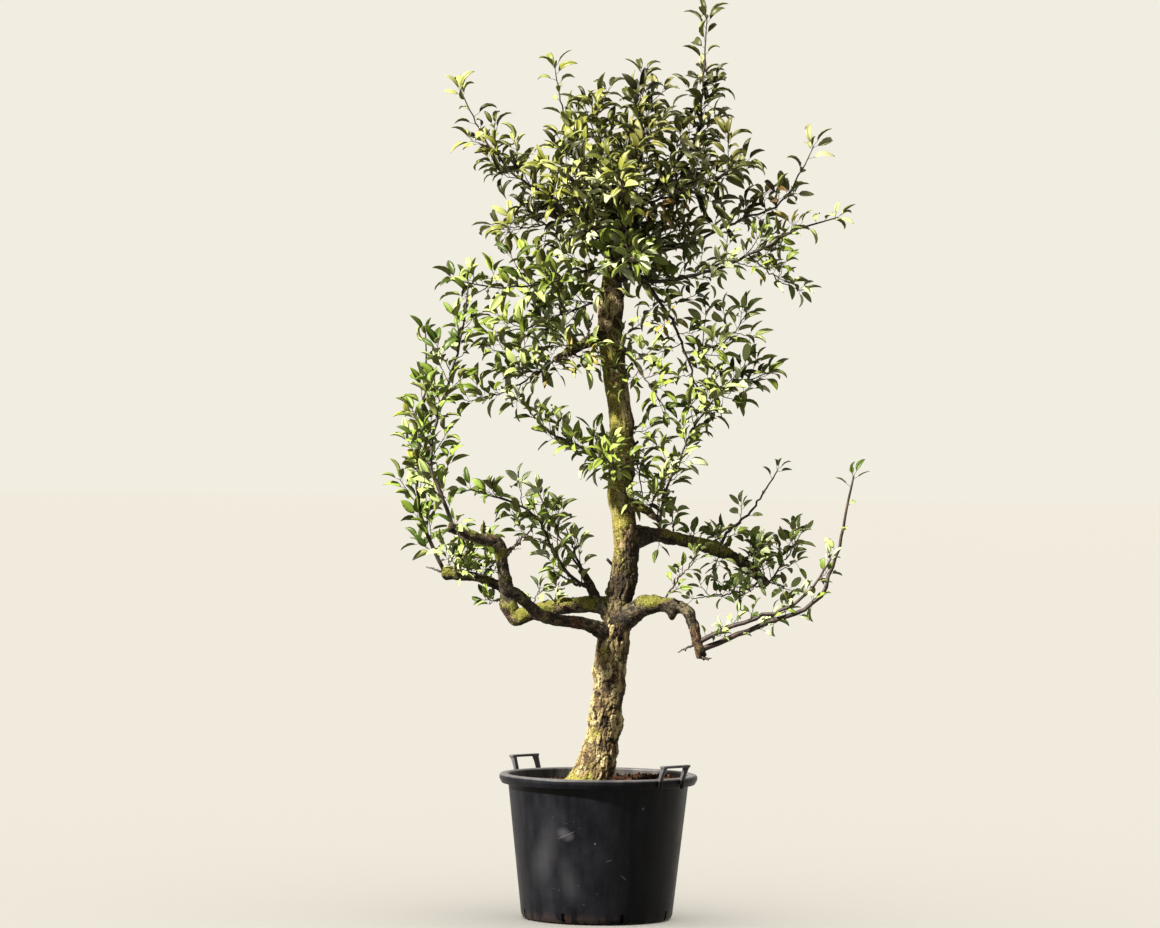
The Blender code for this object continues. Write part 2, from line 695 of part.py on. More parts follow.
class Space:
    """The room of one shoot: near its own line, nearer to it than to any other, and clear of limbs."""

    def __init__(self, name, lines, limbs, reach):
        self.own = lines[name]
        self.others = [line for other, group in lines.items() if other != name for line in group]
        self.limbs = limbs
        self.reach = reach

    def holds(self, spots, margin):
        spots = np.atleast_2d(spots)
        own = np.min([line.clearance(spots) for line in self.own], axis=0)
        if (own > self.reach).any():
            return False
        if any((line.clearance(spots) < own + 2 * (margin + BORDER_CLEARANCE)).any() for line in self.others):
            return False
        return all((limb.clearance(spots) > margin + LIMB_CLEARANCE).all() for limb in self.limbs)


def bare_line(rule, start):
    points = course(start, rule["length"], rule["heading"], rule["climb"], SHOOT_PITCH)
    return Limb(points, np.zeros(len(points)))


def shoot_lines(rule, start):
    """The shoot's stem and then its forks."""
    stem = bare_line(rule, start)
    return [stem, *(bare_line(fork, stem.at(fork["at"])) for fork in rule.get("forks", ()))]


def leaf_mesh(root, way, up, length):
    """A leaf folded along its midrib, which runs from root to drooping tip between two raised edges."""
    across = unit(np.cross(way, up))
    up = np.cross(across, way)
    tip = root + way * length - up * length * LEAF_DROOP
    middle = root + (tip - root) * LEAF_WIDEST + up * length * LEAF_FOLD
    half_width = length * LEAF_WIDTH / 2
    verts = [root, tip, middle + across * half_width, middle - across * half_width]
    return verts, [(0, 1, 2), (0, 3, 1), (0, 2, 3), (1, 3, 2)]


class Crossings:
    """Tells whether a new piece would cut through a piece that is already there."""

    def __init__(self):
        self.trees = []

    def add(self, verts, faces):
        middle = np.mean(verts, axis=0)
        size = np.linalg.norm(np.array(verts) - middle, axis=1).max()
        self.trees.append((middle, size, BVHTree.FromPolygons([Vector(v) for v in verts], faces)))
        return len(self.trees) - 1

    def free(self, verts, faces, parent):
        middle = np.mean(verts, axis=0)
        grown = middle + (np.array(verts) - middle) * 1.08
        size = np.linalg.norm(grown - middle, axis=1).max()
        near = [
            tree
            for k, (other, reach, tree) in enumerate(self.trees)
            if k != parent and np.linalg.norm(other - middle) < size + reach
        ]
        if not near:
            return True
        own = BVHTree.FromPolygons([Vector(v) for v in grown], faces)
        return not any(own.overlap(tree) for tree in near)


def twig_mesh(points, thick, thin):
    return loft(tube_rings(points, np.linspace(thick, thin, len(points)), TWIG_SIDES))


def out_of_face(points, t, share, angle):
    """A direction at an angle from a twig's own, out of the middle of the face at a share of a turn."""
    placed = frames(points)
    tangent, side, up = placed[min(int(t * (len(points) - 1)), len(points) - 2)]
    turn = (math.floor(share % 1 * TWIG_SIDES) + 0.5) * 2 * math.pi / TWIG_SIDES
    out = side * math.cos(turn) + up * math.sin(turn)
    return unit(tangent * math.cos(angle) + out * math.sin(angle) + np.array([0, 0, TWIG_LIFT]))


def side_twigs(line, rule, chance, space):
    """Side twigs turn by the golden angle, shorten towards the tip and stay inside the shoot's space."""
    count = int(rule["length"] / rule.get("spacing", TWIG_SPACING))
    for k in range(count):
        t = (k + 0.8) / count
        if t > LAST_TWIG:
            continue
        way = out_of_face(line.points, t, chance[0, 0] + k * GOLDEN_TURN, TWIG_ANGLE)
        length = rule["reach"] * (1.1 - 0.45 * t) * (0.75 + 0.45 * chance[k, 1])
        foot = line.at(t)
        for cut in TWIG_CUTS:
            points = np.array([foot, foot + way * length * cut])
            if space.holds(between(points, ((0, 1),))[1:], TWIG_RADII[0]):
                yield points
                break


def leaf_sites(points, chance):
    """Places of leaves along a twig and the share of a turn at each, with the last one at its tip."""
    line = Limb(points, np.zeros(len(points)))
    length = np.linalg.norm(np.diff(points, axis=0), axis=1).sum()
    count = max(1, round(length / LEAF_SPACING))
    for k in range(count + 1):
        t = 1 - LEAF_TIP_BACK / length if k == count else (k + 0.6) / count
        if k < count and (1 - t) * length < 3 * LEAF_TIP_BACK:
            continue
        angle = LEAF_TIP_ANGLE if k == count else LEAF_ANGLE
        yield t, line.at(t), chance[0, 0] + k * GOLDEN_TURN, angle, chance[k + 1]


def grow_leaf(spot, way, chance, radius, scale):
    length = (LEAF_LENGTH[0] + (LEAF_LENGTH[1] - LEAF_LENGTH[0]) * chance[0]) * scale
    flat = unit(np.cross(way, (0, 0, 1)))
    roll = (chance[1] - 0.5) * 2 * LEAF_ROLL
    up = np.cross(flat, way) * math.cos(roll) + flat * math.sin(roll)
    return leaf_mesh(spot - way * radius * LEAF_ROOT - up * LEAF_SINK, way, up, length)


def make_shoot(name, rule, lines, limbs, look, seed):
    """One mass of foliage: its stem, its forks, side twigs and leaves, fused into one body."""
    rng = np.random.default_rng(seed)
    scale = rule.get("leaf", 1.0)
    space = Space(name, lines, limbs, rule["reach"] + LEAF_LENGTH[1] * scale)
    crossings = Crossings()
    pieces, twigs = [], []

    def add_twig(points, thick, thin, parent):
        piece = twig_mesh(points, thick, thin)
        if parent is not None and not crossings.free(*piece, parent):
            return parent
        pieces.append(piece)
        twigs.append((points, thick, thin, crossings.add(*piece)))
        return twigs[-1][3]

    stem, *forks = lines[name]
    trunk_twig = add_twig(stem.points, *SHOOT_RADII, None)
    bearers = [(stem, trunk_twig)]
    for fork in forks:
        bearers.append((fork, add_twig(fork.points, *TWIG_RADII, trunk_twig)))
    for line, parent in bearers:
        for points in side_twigs(line, rule, rng.random((40, 2)), space):
            add_twig(points, *TWIG_RADII, parent)
    for points, thick, thin, own in twigs:
        for t, spot, share, angle, chance in leaf_sites(points, rng.random((60, 2))):
            for side in range(TWIG_SIDES):
                way = out_of_face(points, t, share + side / TWIG_SIDES, angle)
                leaf = grow_leaf(spot, way, chance, thick + (thin - thick) * t, scale)
                if space.holds(between(leaf[0], LEAF_EDGES)[1:], 0.0) and crossings.free(*leaf, own):
                    crossings.add(*leaf)
                    pieces.append(leaf)
                    break
    return union(name, pieces, look)


def union(name, pieces, look):
    """Fuses closed pieces into one body."""
    parts = bpy.data.collections.new(name + "_parts")
    bpy.context.scene.collection.children.link(parts)
    for verts, faces in pieces[1:]:
        thing = add_object(name + "_piece", verts, faces)
        bpy.context.collection.objects.unlink(thing)
        parts.objects.link(thing)
        point_faces_out(thing)
    whole = add_object(name, *pieces[0], look)
    point_faces_out(whole)
    join = whole.modifiers.new("fuse", "BOOLEAN")
    join.operation = "UNION"
    join.operand_type = "COLLECTION"
    join.collection = parts
    join.solver = "MANIFOLD"
    apply_modifiers(whole)
    for thing in list(parts.objects):
        bpy.data.objects.remove(thing)
    bpy.data.collections.remove(parts)
    largest_body(whole)
    return whole


def main():
    clear_scene()
    plastic = material("pot_plastic", (0.012, 0.012, 0.014), 0.45)
    earth = material("soil", (0.045, 0.025, 0.016), 0.95)
    bark = material("bark", (0.16, 0.12, 0.07), 0.9)
    moss = material("mossy_bark", (0.17, 0.15, 0.06), 0.9)
    foliage = material("apple_leaf", (0.14, 0.20, 0.04), 0.5)

    make_pot(plastic)
    make_soil(earth)
    make_handle("handle_right_front", HANDLE_AZIMUTH, plastic)
    make_handle("handle_left_rear", HANDLE_AZIMUTH + math.pi, plastic)

    limbs = {"trunk": trunk_limb()}
    trunk = add_object("trunk", *loft(trunk_rings(limbs["trunk"])), bark)
    cutter_rings = {"trunk": trunk_rings(limbs["trunk"], CUT_SPARE)}
    meshes = {"trunk": trunk.data}
    for name, rule in BOUGHS.items():
        limb = bough_limb(rule, limbs[rule["on"]])
        bough = add_object(name, *loft(tube_rings(limb.points, limb.radii, BOUGH_SIDES)), moss)
        cut_clear(bough, cutter_rings[rule["on"]])
        largest_body(bough)
        limbs[name] = limb
        meshes[name] = bough.data
        cutter_rings[name] = tube_rings(limb.points, limb.radii, BOUGH_SIDES, CUT_SPARE)

    lines = {}
    for name, rule in SHOOTS.items():
        start = seat_of(meshes[rule["on"]], rule, limbs[rule["on"]].at(rule["at"]), SHOOT_RADII[0])
        lines[name] = shoot_lines(rule, start)
    for seed, (name, rule) in enumerate(SHOOTS.items()):
        make_shoot(name, rule, lines, list(limbs.values()), foliage, seed)


main()
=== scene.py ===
import math

import bpy
import numpy as np
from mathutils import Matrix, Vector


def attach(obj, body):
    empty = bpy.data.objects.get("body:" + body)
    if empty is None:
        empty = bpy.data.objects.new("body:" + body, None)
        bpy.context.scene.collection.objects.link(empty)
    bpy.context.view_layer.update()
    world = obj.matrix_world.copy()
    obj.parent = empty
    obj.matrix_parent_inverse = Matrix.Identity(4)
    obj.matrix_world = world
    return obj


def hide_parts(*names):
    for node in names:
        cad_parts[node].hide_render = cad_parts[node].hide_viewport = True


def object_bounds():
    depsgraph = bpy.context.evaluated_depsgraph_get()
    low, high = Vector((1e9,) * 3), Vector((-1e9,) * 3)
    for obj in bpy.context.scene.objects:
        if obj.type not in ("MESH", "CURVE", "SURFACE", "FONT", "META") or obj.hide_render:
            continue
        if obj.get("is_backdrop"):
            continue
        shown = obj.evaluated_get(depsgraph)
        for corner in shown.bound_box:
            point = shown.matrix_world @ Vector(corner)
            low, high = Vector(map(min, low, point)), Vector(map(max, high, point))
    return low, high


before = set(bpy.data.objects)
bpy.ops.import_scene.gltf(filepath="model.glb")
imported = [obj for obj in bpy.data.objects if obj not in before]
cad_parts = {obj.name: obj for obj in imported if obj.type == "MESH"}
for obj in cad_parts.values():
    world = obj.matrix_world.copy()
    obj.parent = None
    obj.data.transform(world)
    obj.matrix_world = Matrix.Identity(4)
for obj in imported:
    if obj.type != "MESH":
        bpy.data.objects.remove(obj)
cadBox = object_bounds()
print("frame loaded:", len(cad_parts), "nodes")

rng = np.random.default_rng(7)
goldenTurn = 0.381966  # share of a full turn from one bud to the next


# sRGB hex to linear: c / 12.92 below 0.04045, else ((c + 0.055) / 1.055) ^ 2.4
def hexToLinear(code):
    c = np.array([int(code[k:k + 2], 16) for k in (0, 2, 4)]) / 255
    return (*np.where(c <= 0.04045, c / 12.92, ((c + 0.055) / 1.055) ** 2.4).tolist(), 1.0)


# Adds a node: inputs are its values or the sockets linked in, settings its properties, stops its colour stops.
# Gives back its first output, the output that is named, or the whole node where that is None.
def addNode(tree, kind, inputs=None, settings=None, stops=(), output=0):
    node = tree.nodes.new("ShaderNode" + kind)
    for key, value in (settings or {}).items():
        setattr(node, key, value)
    for key, value in (inputs or {}).items():
        if isinstance(value, bpy.types.NodeSocket):
            tree.links.new(value, node.inputs[key])
        else:
            node.inputs[key].default_value = value
    for k, (place, code) in enumerate(stops):
        ramp = node.color_ramp.elements
        stop = ramp[k] if k < 2 else ramp.new(place)
        stop.position = place
        stop.color = hexToLinear(code)
    return node if output is None else node.outputs[output]


times, plus, minus = {"operation": "MULTIPLY"}, {"operation": "ADD"}, {"operation": "SUBTRACT"}
atMost, atLeast, larger = {"operation": "LESS_THAN"}, {"operation": "GREATER_THAN"}, {"operation": "MAXIMUM"}
colours = {"data_type": "RGBA"}


# A material with one roughness, gloss and, where it is given, colour
def newMaterial(name, roughness, specular, colour="ffffff"):
    made = bpy.data.materials.new(name)
    made.use_nodes = True
    shader = made.node_tree.nodes["Principled BSDF"].inputs
    shader["Roughness"].default_value = roughness
    shader["Specular IOR Level"].default_value = specular
    shader["Base Color"].default_value = hexToLinear(colour)
    return made, made.node_tree


# Links sockets into a material's shader by the names of its inputs
def wire(made, sockets):
    for name, socket in sockets.items():
        made.node_tree.links.new(socket, made.node_tree.nodes["Principled BSDF"].inputs[name])
    return made


def unit(v):
    return v / np.maximum(np.linalg.norm(v, axis=-1, keepdims=True), 1e-9)


# Angles of even steps once round: (k + offset) · 2π / count
def turns(count, offset=0):
    return (np.arange(count) + offset) * 2 * math.pi / count


# A number from 0 to 65535 for each whole-number corner, by mixing its bits
def hashed(c, seed):
    mixed = c[..., 0] * 73856093 ^ c[..., 1] * 19349663 ^ c[..., 2] * 83492791 ^ seed * 26544357
    mixed = (mixed ^ mixed >> 13) * 1274126177 & 0xFFFFFFFF
    mixed = (mixed ^ mixed >> 15) * 668265263 & 0xFFFFFFFF
    return mixed & 0xFFFF


# Value noise from -1 to 1: hashed numbers at whole-number corners, blended by 3t² - 2t³ along each axis
def latticeNoise(q, seed):
    corner = np.floor(q).astype(np.int64)
    t = q - corner
    t = t * t * (3 - 2 * t)
    total = np.zeros(q.shape[:-1])
    for k in range(8):
        pick = np.array([k & 1, k >> 1 & 1, k >> 2 & 1])
        total += np.where(pick, t, 1 - t).prod(axis=-1) * (hashed(corner + pick, seed) / 32767.5 - 1)
    return total


# Octaves of value noise: the sum of noise(2^k q) / 2^k
def fractal(q, seed, octaves=3):
    return sum(latticeNoise(q * 2**k, seed + k) / 2**k for k in range(octaves))


# Cell noise: distances to the nearest and second nearest of one hashed spot per unit cell, and the nearest
# cell's own number from 0 to 1
def cellNoise(q, seed):
    corner = np.floor(q).astype(np.int64)
    first = np.full(q.shape[:-1], 9.0)
    second, number = first.copy(), np.zeros_like(first)
    for k in range(27):
        c = corner + (k % 3 - 1, k // 3 % 3 - 1, k // 9 - 1)
        spot = np.stack([hashed(c, seed + 31 * axis) / 65535 for axis in range(3)], axis=-1)
        gap = np.linalg.norm(c + spot - q, axis=-1)
        nearer = gap < first
        second = np.where(nearer, first, np.minimum(second, gap))
        number = np.where(nearer, spot[..., 0], number)
        first = np.where(nearer, gap, first)
    return first, second, number


# Puts arrays of corners into a mesh. Each face group has one row of corners a face. A closed shape whose
# volume, the sum of a · (b × c) / 6 over its triangles, is negative is turned to face outwards.
def addPiece(name, points, groups, looks, slots=None, smooth=True, closed=True, attributes=None):
    volume = 0.0
    for g in groups:
        a = points[g[:, 0]]
        for k in range(1, g.shape[1] - 1):
            volume += np.einsum("ij,ij->", a, np.cross(points[g[:, k]], points[g[:, k + 1]]))
    if closed and volume < 0:
        groups = [g[:, ::-1] for g in groups]
    corners = np.concatenate([g.ravel() for g in groups])
    sizes = np.concatenate([np.full(len(g), g.shape[1]) for g in groups])
    mesh = bpy.data.meshes.new(name)
    mesh.vertices.add(len(points))
    mesh.vertices.foreach_set("co", points.astype(np.float32).ravel())
    mesh.loops.add(len(corners))
    mesh.loops.foreach_set("vertex_index", corners.astype(np.int32))
    mesh.polygons.add(len(sizes))
    mesh.polygons.foreach_set("loop_start", np.concatenate([[0], np.cumsum(sizes)[:-1]]).astype(np.int32))
    mesh.polygons.foreach_set("use_smooth", np.full(len(sizes), smooth))
    for look in looks:
        mesh.materials.append(look)
    if slots is not None:
        mesh.polygons.foreach_set("material_index", slots.astype(np.int32))
    for key, values in (attributes or {}).items():
        mesh.attributes.new(key, "FLOAT", "POINT").data.foreach_set("value", values.astype(np.float32))
    mesh.update(calc_edges=True)
    piece = bpy.data.objects.new(name, mesh)
    bpy.context.scene.collection.objects.link(piece)
    return piece


# Faces of a tube of rows of equal count: one group of quads, and a fan of triangles to a pole at each end
def tubeFaces(rows, around):
    k = np.arange(rows - 1)[:, None] * around
    i = np.arange(around)
    j = (i + 1) % around
    quads = np.stack([k + i, k + j, k + around + j, k + around + i], axis=-1).reshape(-1, 4)
    end = (rows - 1) * around
    low = np.stack([j, i, np.full(around, rows * around)], axis=-1)
    high = np.stack([end + i, end + j, np.full(around, rows * around + 1)], axis=-1)
    return [quads, np.concatenate([low, high])]


# One shape's faces for many copies of it, whose corners follow each other in equal blocks
def repeated(faces, copies, block):
    return (faces[None] + np.arange(copies)[:, None, None] * block).reshape(-1, faces.shape[1])


# Joins meshes of points and face groups end to end into one
def joined(parts):
    points, groups, base = [], [], 0
    for p, g in parts:
        points.append(p)
        groups.append([faces + base for faces in g])
        base += len(p)
    return np.concatenate(points), [np.concatenate(same) for same in zip(*groups)]


# Camera: level, 12 m in front, with the photograph's slight roll; pixels across give the lens
view = dict(distance=12.0, pixelsPerSlope=4400, frameWidth=1160, sensor=36.0, across=-0.0604, height=1.2376,
            roll=0.7)
lensData = bpy.data.cameras.new("camera")
lensData.sensor_width = view["sensor"]
lensData.lens = view["pixelsPerSlope"] / view["frameWidth"] * view["sensor"]
camera = bpy.data.objects.new("camera", lensData)
camera.location = (view["across"], -view["distance"], view["height"])
camera.rotation_mode = "XYZ"
camera.rotation_euler = (math.pi / 2, -math.radians(view["roll"]), 0)
bpy.context.scene.collection.objects.link(camera)
bpy.context.scene.camera = camera

# Studio: an even pale room and one soft lamp high on the left, which doesn't reach the floor, so that the floor
# keeps the room's pale tone with a faint shadow where the pot stands
studio = dict(room="f2ede1", roomStrength=1.0, keyStrength=26.0, keySpread=4, keyHeading=(51, 0, -60),
              keyColour=(1.0, 0.96, 0.86), floorSize=300)
scene = bpy.context.scene
scene.view_settings.view_transform = "Standard"
world = bpy.data.worlds.new("room")
world.use_nodes = True
backdrop = world.node_tree.nodes["Background"].inputs
backdrop["Color"].default_value = hexToLinear(studio["room"])
backdrop["Strength"].default_value = studio["roomStrength"]
scene.world = world

floorPaint, tree = newMaterial("paleFloorPaint", 0.95, 0.0)
speckle = addNode(tree, "TexNoise", {"Scale": 3.0, "Detail": 2.0})
wire(floorPaint, {"Base Color": addNode(tree, "ValToRGB", {0: speckle}, stops=[(0.3, "fefdfb"), (0.7, "fffefc")])})
half = studio["floorSize"] / 2
floorCorners = np.array([[-half, -half, 0], [half, -half, 0], [half, half, 0], [-half, half, 0]])
floor = addPiece("floor", floorCorners, [np.array([[0, 1, 2, 3]])], [floorPaint], smooth=False, closed=False)
floor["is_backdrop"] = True

lampData = bpy.data.lights.new("keyLamp", "SUN")
lampData.energy = studio["keyStrength"]
lampData.angle = math.radians(studio["keySpread"])
lampData.color = studio["keyColour"]
lamp = bpy.data.objects.new("keyLamp", lampData)
lamp.rotation_euler = [math.radians(a) for a in studio["keyHeading"]]
scene.collection.objects.link(lamp)
unlit = bpy.data.collections.new("unlitByKeyLamp")
unlit.objects.link(floor)
unlit.collection_objects[0].light_linking.link_state = "EXCLUDE"
lamp.light_linking.receiver_collection = unlit
print("camera, lamp and floor ready")


# Pot: its section as radii and heights, corner rounding, the drain slots round its foot, and its weathering
potShape = dict(
    height=0.394, rim=0.270, throat=0.2480, base=0.2065, baseRound=0.014, wall=0.004, lipDrop=0.026, skirt=0.0045,
    lip=0.005, innerLip=0.003, roll=0.0065, bead=0.013, edge=0.0045, around=180, fillet=0.0022,
    rings=(0.034, 0.10, 0.20, 0.30), slots=8, slotWidth=0.010, slotFoot=0.006, slotTop=0.030, slotDepth=0.024,
    firstSlot=-161, sharpFrom=40)
potFinish = dict(
    # the pale tone for the rim's top edge and the two heights of its band are a painted highlight
    outside=("030305", "101014"), inside=("141414", "3c3a38"), rimHighlight="414042", scuffAndSheen="3a3a3d", dotted="34312d",
    splashed="33261b", rimHighlightFrom=0.3885, rimHighlightTo=0.3925, splashTop=0.032,
    # marks on the front: centre, half sizes, turn about the view, how pale and how soft its edge. A dried patch
    # with a scratch over it, more scratches, splashes, and two broad soft pale patches on the left that are painted
    # sheen
    marks=(((-0.092, -0.22, 0.247), (0.024, 0.12, 0.019), 0.4, 0.40, 0.7),
           ((-0.078, -0.22, 0.238), (0.018, 0.12, 0.014), -0.5, 0.35, 0.7),
           ((-0.085, -0.22, 0.243), (0.028, 0.12, 0.0010), -0.45, 1.0, 0.3),
           ((0.070, -0.22, 0.130), (0.012, 0.12, 0.0011), 0.75, 1.0, 0.3),
           ((0.030, -0.22, 0.176), (0.010, 0.12, 0.0009), -0.2, 0.8, 0.3),
           ((0.120, -0.21, 0.315), (0.0032, 0.12, 0.0045), 0.0, 1.0, 0.3),
           ((-0.008, -0.23, 0.222), (0.0028, 0.12, 0.0028), 0.0, 1.0, 0.3),
           # two broad soft pale patches on the left front: painted sheen
           ((-0.140, -0.16, 0.19), (0.040, 0.12, 0.110), 0.25, 0.25, 1.0),
           ((-0.07, -0.21, 0.11), (0.034, 0.12, 0.080), -0.3, 0.20, 1.0)))


# Injection-moulded black polyethylene, weathered outdoors: a satin skin with dried splashes, scuffs and dust, two broad
# pale patches that are painted sheen, and a paler band along the rim's top edge that is a painted highlight
def potMaterial(name, skin, marks):
    finish = potFinish
    made, tree = newMaterial(name, 0.42, 0.08)
    place = addNode(tree, "TexCoord", output="Object")
    height = addNode(tree, "SeparateXYZ", {0: place}, output="Z")
    cloud = addNode(tree, "TexNoise", {"Vector": place, "Scale": 9.0, "Detail": 6.0, "Roughness": 0.7})  # 110 mm
    drawn = addNode(tree, "Mapping", {"Vector": place, "Scale": (1, 1, 0.12)})
    streak = addNode(tree, "TexNoise", {"Vector": drawn, "Scale": 40.0, "Detail": 5.0})  # 25 mm runs
    film = addNode(tree, "Math", {0: cloud, 1: streak}, times)
    base = addNode(tree, "ValToRGB", {0: film}, stops=[(0.12, skin[0]), (0.42, skin[1])])
    worn = addNode(tree, "MapRange", {0: cloud, 1: 0.9, 2: 1.0, 4: 0.1})
    # the marks: real scuffs, scratches and splashes, and two pale patches on the left that are painted sheen
    for centre, size, turned, share, soft in marks:
        within = {"Vector": place, "Location": centre, "Rotation": (0, turned, 0), "Scale": size}
        spot = addNode(tree, "Mapping", within, {"vector_type": "TEXTURE"})
        inside = addNode(tree, "TexGradient", {"Vector": spot}, {"gradient_type": "SPHERICAL"}, output="Fac")
        edge = addNode(tree, "MapRange", {0: inside, 2: soft, 4: share})
        worn = addNode(tree, "Math", {0: worn, 1: edge}, larger)
    # a paler streaky band along the rim's top edge: painted highlight
    rimHighlight = addNode(tree, "MapRange", {0: height, 1: finish["rimHighlightFrom"], 2: finish["rimHighlightTo"], 4: 1.6})
    rimHighlight = addNode(tree, "Math", {0: rimHighlight, 1: streak}, times)
    fleck = addNode(tree, "TexVoronoi", {"Vector": place, "Scale": 60.0}, output=None)  # 16 mm apart
    rare = addNode(tree, "SeparateColor", {0: fleck.outputs["Color"]})
    rare = addNode(tree, "Math", {0: rare, 1: 0.82}, atLeast)
    dots = addNode(tree, "Math", {0: fleck.outputs["Distance"], 1: 0.07}, atMost)
    dots = addNode(tree, "Math", {0: dots, 1: rare}, times)
    splash = addNode(tree, "MapRange", {0: height, 1: finish["splashTop"], 2: 0.0, 4: 0.35})
    thrown = addNode(tree, "Math", {0: streak, 1: 0.48}, atLeast)
    splash = addNode(tree, "Math", {0: splash, 1: thrown}, times)
    for share, tone in ((rimHighlight, "rimHighlight"), (worn, "scuffAndSheen"), (dots, "dotted"), (splash, "splashed")):
        base = addNode(tree, "Mix", {0: share, 6: base, 7: hexToLinear(finish[tone])}, colours, output=2)
    gloss = addNode(tree, "MapRange", {0: cloud, 1: 0.3, 2: 0.7, 3: 0.28, 4: 0.52})
    grain = addNode(tree, "TexNoise", {"Vector": place, "Scale": 420.0, "Detail": 2.0})  # 2 mm
    bump = addNode(tree, "Bump", {"Strength": 0.2, "Distance": 0.0004, "Height": grain})
    return wire(made, {"Base Color": base, "Roughness": gloss, "Normal": bump})


# Potting soil of bark and peat: dark red-brown with paler crumbs
def soilMaterial():
    made, tree = newMaterial("barkAndPeatMix", 0.95, 0.02)
    place = addNode(tree, "TexCoord", output="Object")
    crumb = addNode(tree, "TexVoronoi", {"Vector": place, "Scale": 140.0}, output=None)  # 7 mm bits
    tint = addNode(tree, "SeparateColor", {0: crumb.outputs["Color"]})
    tone = addNode(tree, "ValToRGB", {0: tint}, stops=[(0.15, "120906"), (0.95, "4e3826"), (0.7, "25140e")])
    damp = addNode(tree, "TexNoise", {"Vector": place, "Scale": 30.0, "Detail": 4.0})  # 33 mm
    mixed = addNode(tree, "Mix", {0: damp, 6: tone, 7: hexToLinear("0d0705")}, colours, output=2)
    bump = addNode(tree, "Bump", {"Strength": 0.7, "Distance": 0.002, "Height": crumb.outputs["Distance"]})
    return wire(made, {"Base Color": mixed, "Normal": bump})


potPlastic = potMaterial("mouldedBlackPolyethylene", potFinish["outside"], potFinish["marks"])
# the pot's inside gets paler greys than its outside
innerPlastic = potMaterial("paleInnerPolyethylene", potFinish["inside"], ())
pottingSoil = soilMaterial()


# Rounds each corner of a profile: the points a fillet's length before and after it are joined by the
# quadratic curve (1-t)² a + 2t(1-t) corner + t² b
def softened(profile, fillet, steps=5):
    p = np.array(profile, float)
    t = np.linspace(0, 1, steps)[:, None]
    rows = [p[:1]]
    for before, corner, after in zip(p, p[1:], p[2:]):
        a = corner + unit(before - corner) * min(fillet, np.linalg.norm(before - corner) * 0.45)
        b = corner + unit(after - corner) * min(fillet, np.linalg.norm(after - corner) * 0.45)
        rows.append((1 - t) ** 2 * a + 2 * t * (1 - t) * corner + t**2 * b)
    return np.concatenate([*rows, p[-1:]])


# The pot's section from the middle of its underside, up the outside, over the rim and down to its floor
def potSection(shape):
    base, wall, rounding, throat = (shape[key] for key in ("base", "wall", "baseRound", "throat"))
    top, rim, edge = shape["height"], shape["rim"], shape["edge"]
    lipUnder, skirtTop, roll = top - shape["lip"], top - shape["lipDrop"], shape["roll"]
    skirt = rim - shape["skirt"] - roll
    slope = (throat - base) / (lipUnder - rounding)
    corner = 0.29 * rounding  # where a quarter circle is cut in two: 1 - cos 45°
    return softened([
        (0, 0), (base - rounding, 0), (base - corner, corner), (base, rounding),
        *((base + slope * (z - rounding), z) for z in shape["rings"]), (throat, lipUnder), (skirt, lipUnder),
        (skirt, skirtTop), (rim - roll, skirtTop), (rim, top - shape["bead"]), (rim, top - edge), (rim - edge, top),
        (throat, top), (throat - wall, top - shape["innerLip"]), (base - wall, rounding + wall),
        (base - rounding - wall, wall), (0, wall)], shape["fillet"])


# The section, whose first and last points lie on the axis, turned once round: (r cos a, r sin a, z)
shape = potShape
section = potSection(shape)
turn = turns(shape["around"])
r, z = section[1:-1, :1], section[1:-1, 1:]
points = np.stack([r * np.cos(turn), r * np.sin(turn), z + 0 * turn], axis=-1).reshape(-1, 3)
poles = np.array([[0, 0, section[0, 1]], [0, 0, section[-1, 1]]])
insideFrom = np.flatnonzero(section[:, 0] < shape["throat"])
insideFrom = insideFrom[insideFrom > len(section) / 2][0] - 2
isInside = np.concatenate([np.repeat(np.arange(len(section) - 3) >= insideFrom, shape["around"]),
                           np.zeros(shape["around"], bool), np.ones(shape["around"], bool)])
pot = addPiece("potShell", np.concatenate([points, poles]), tubeFaces(len(r), shape["around"]),
               [potPlastic, innerPlastic], isInside)
slotCorners = np.array([[x, y, z] for x in (-0.5, 0.5) for y in (-0.5, 0.5) for z in (0, 1)])
azimuths = np.radians(shape["firstSlot"] + np.arange(shape["slots"]) * 360 / shape["slots"])
inward = slotCorners[:, 0] * shape["slotDepth"] + shape["base"] - shape["slotDepth"] / 4
sideways = slotCorners[:, 1] * shape["slotWidth"]
c, s = np.cos(azimuths)[:, None], np.sin(azimuths)[:, None]
slotPoints = np.stack([c * inward - s * sideways, s * inward + c * sideways,
                       shape["slotFoot"] + slotCorners[:, 2] * (shape["slotTop"] - shape["slotFoot"]) + 0 * c], axis=-1)
boxFaces = np.array([[0, 1, 3, 2], [4, 6, 7, 5], [0, 4, 5, 1], [2, 3, 7, 6], [0, 2, 6, 4], [1, 5, 7, 3]])
cutter = addPiece("slotCutter", slotPoints.reshape(-1, 3), [repeated(boxFaces, shape["slots"], 8)], [potPlastic])
cut = pot.modifiers.new("slots", "BOOLEAN")
cut.object = cutter
cut.solver = "EXACT"
potMesh = bpy.data.meshes.new_from_object(pot.evaluated_get(bpy.context.evaluated_depsgraph_get()))
pot.modifiers.clear()
pot.data = potMesh
pot.data.set_sharp_from_angle(angle=math.radians(shape["sharpFrom"]))
bpy.data.objects.remove(cutter)
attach(pot, "root")
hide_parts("pot")

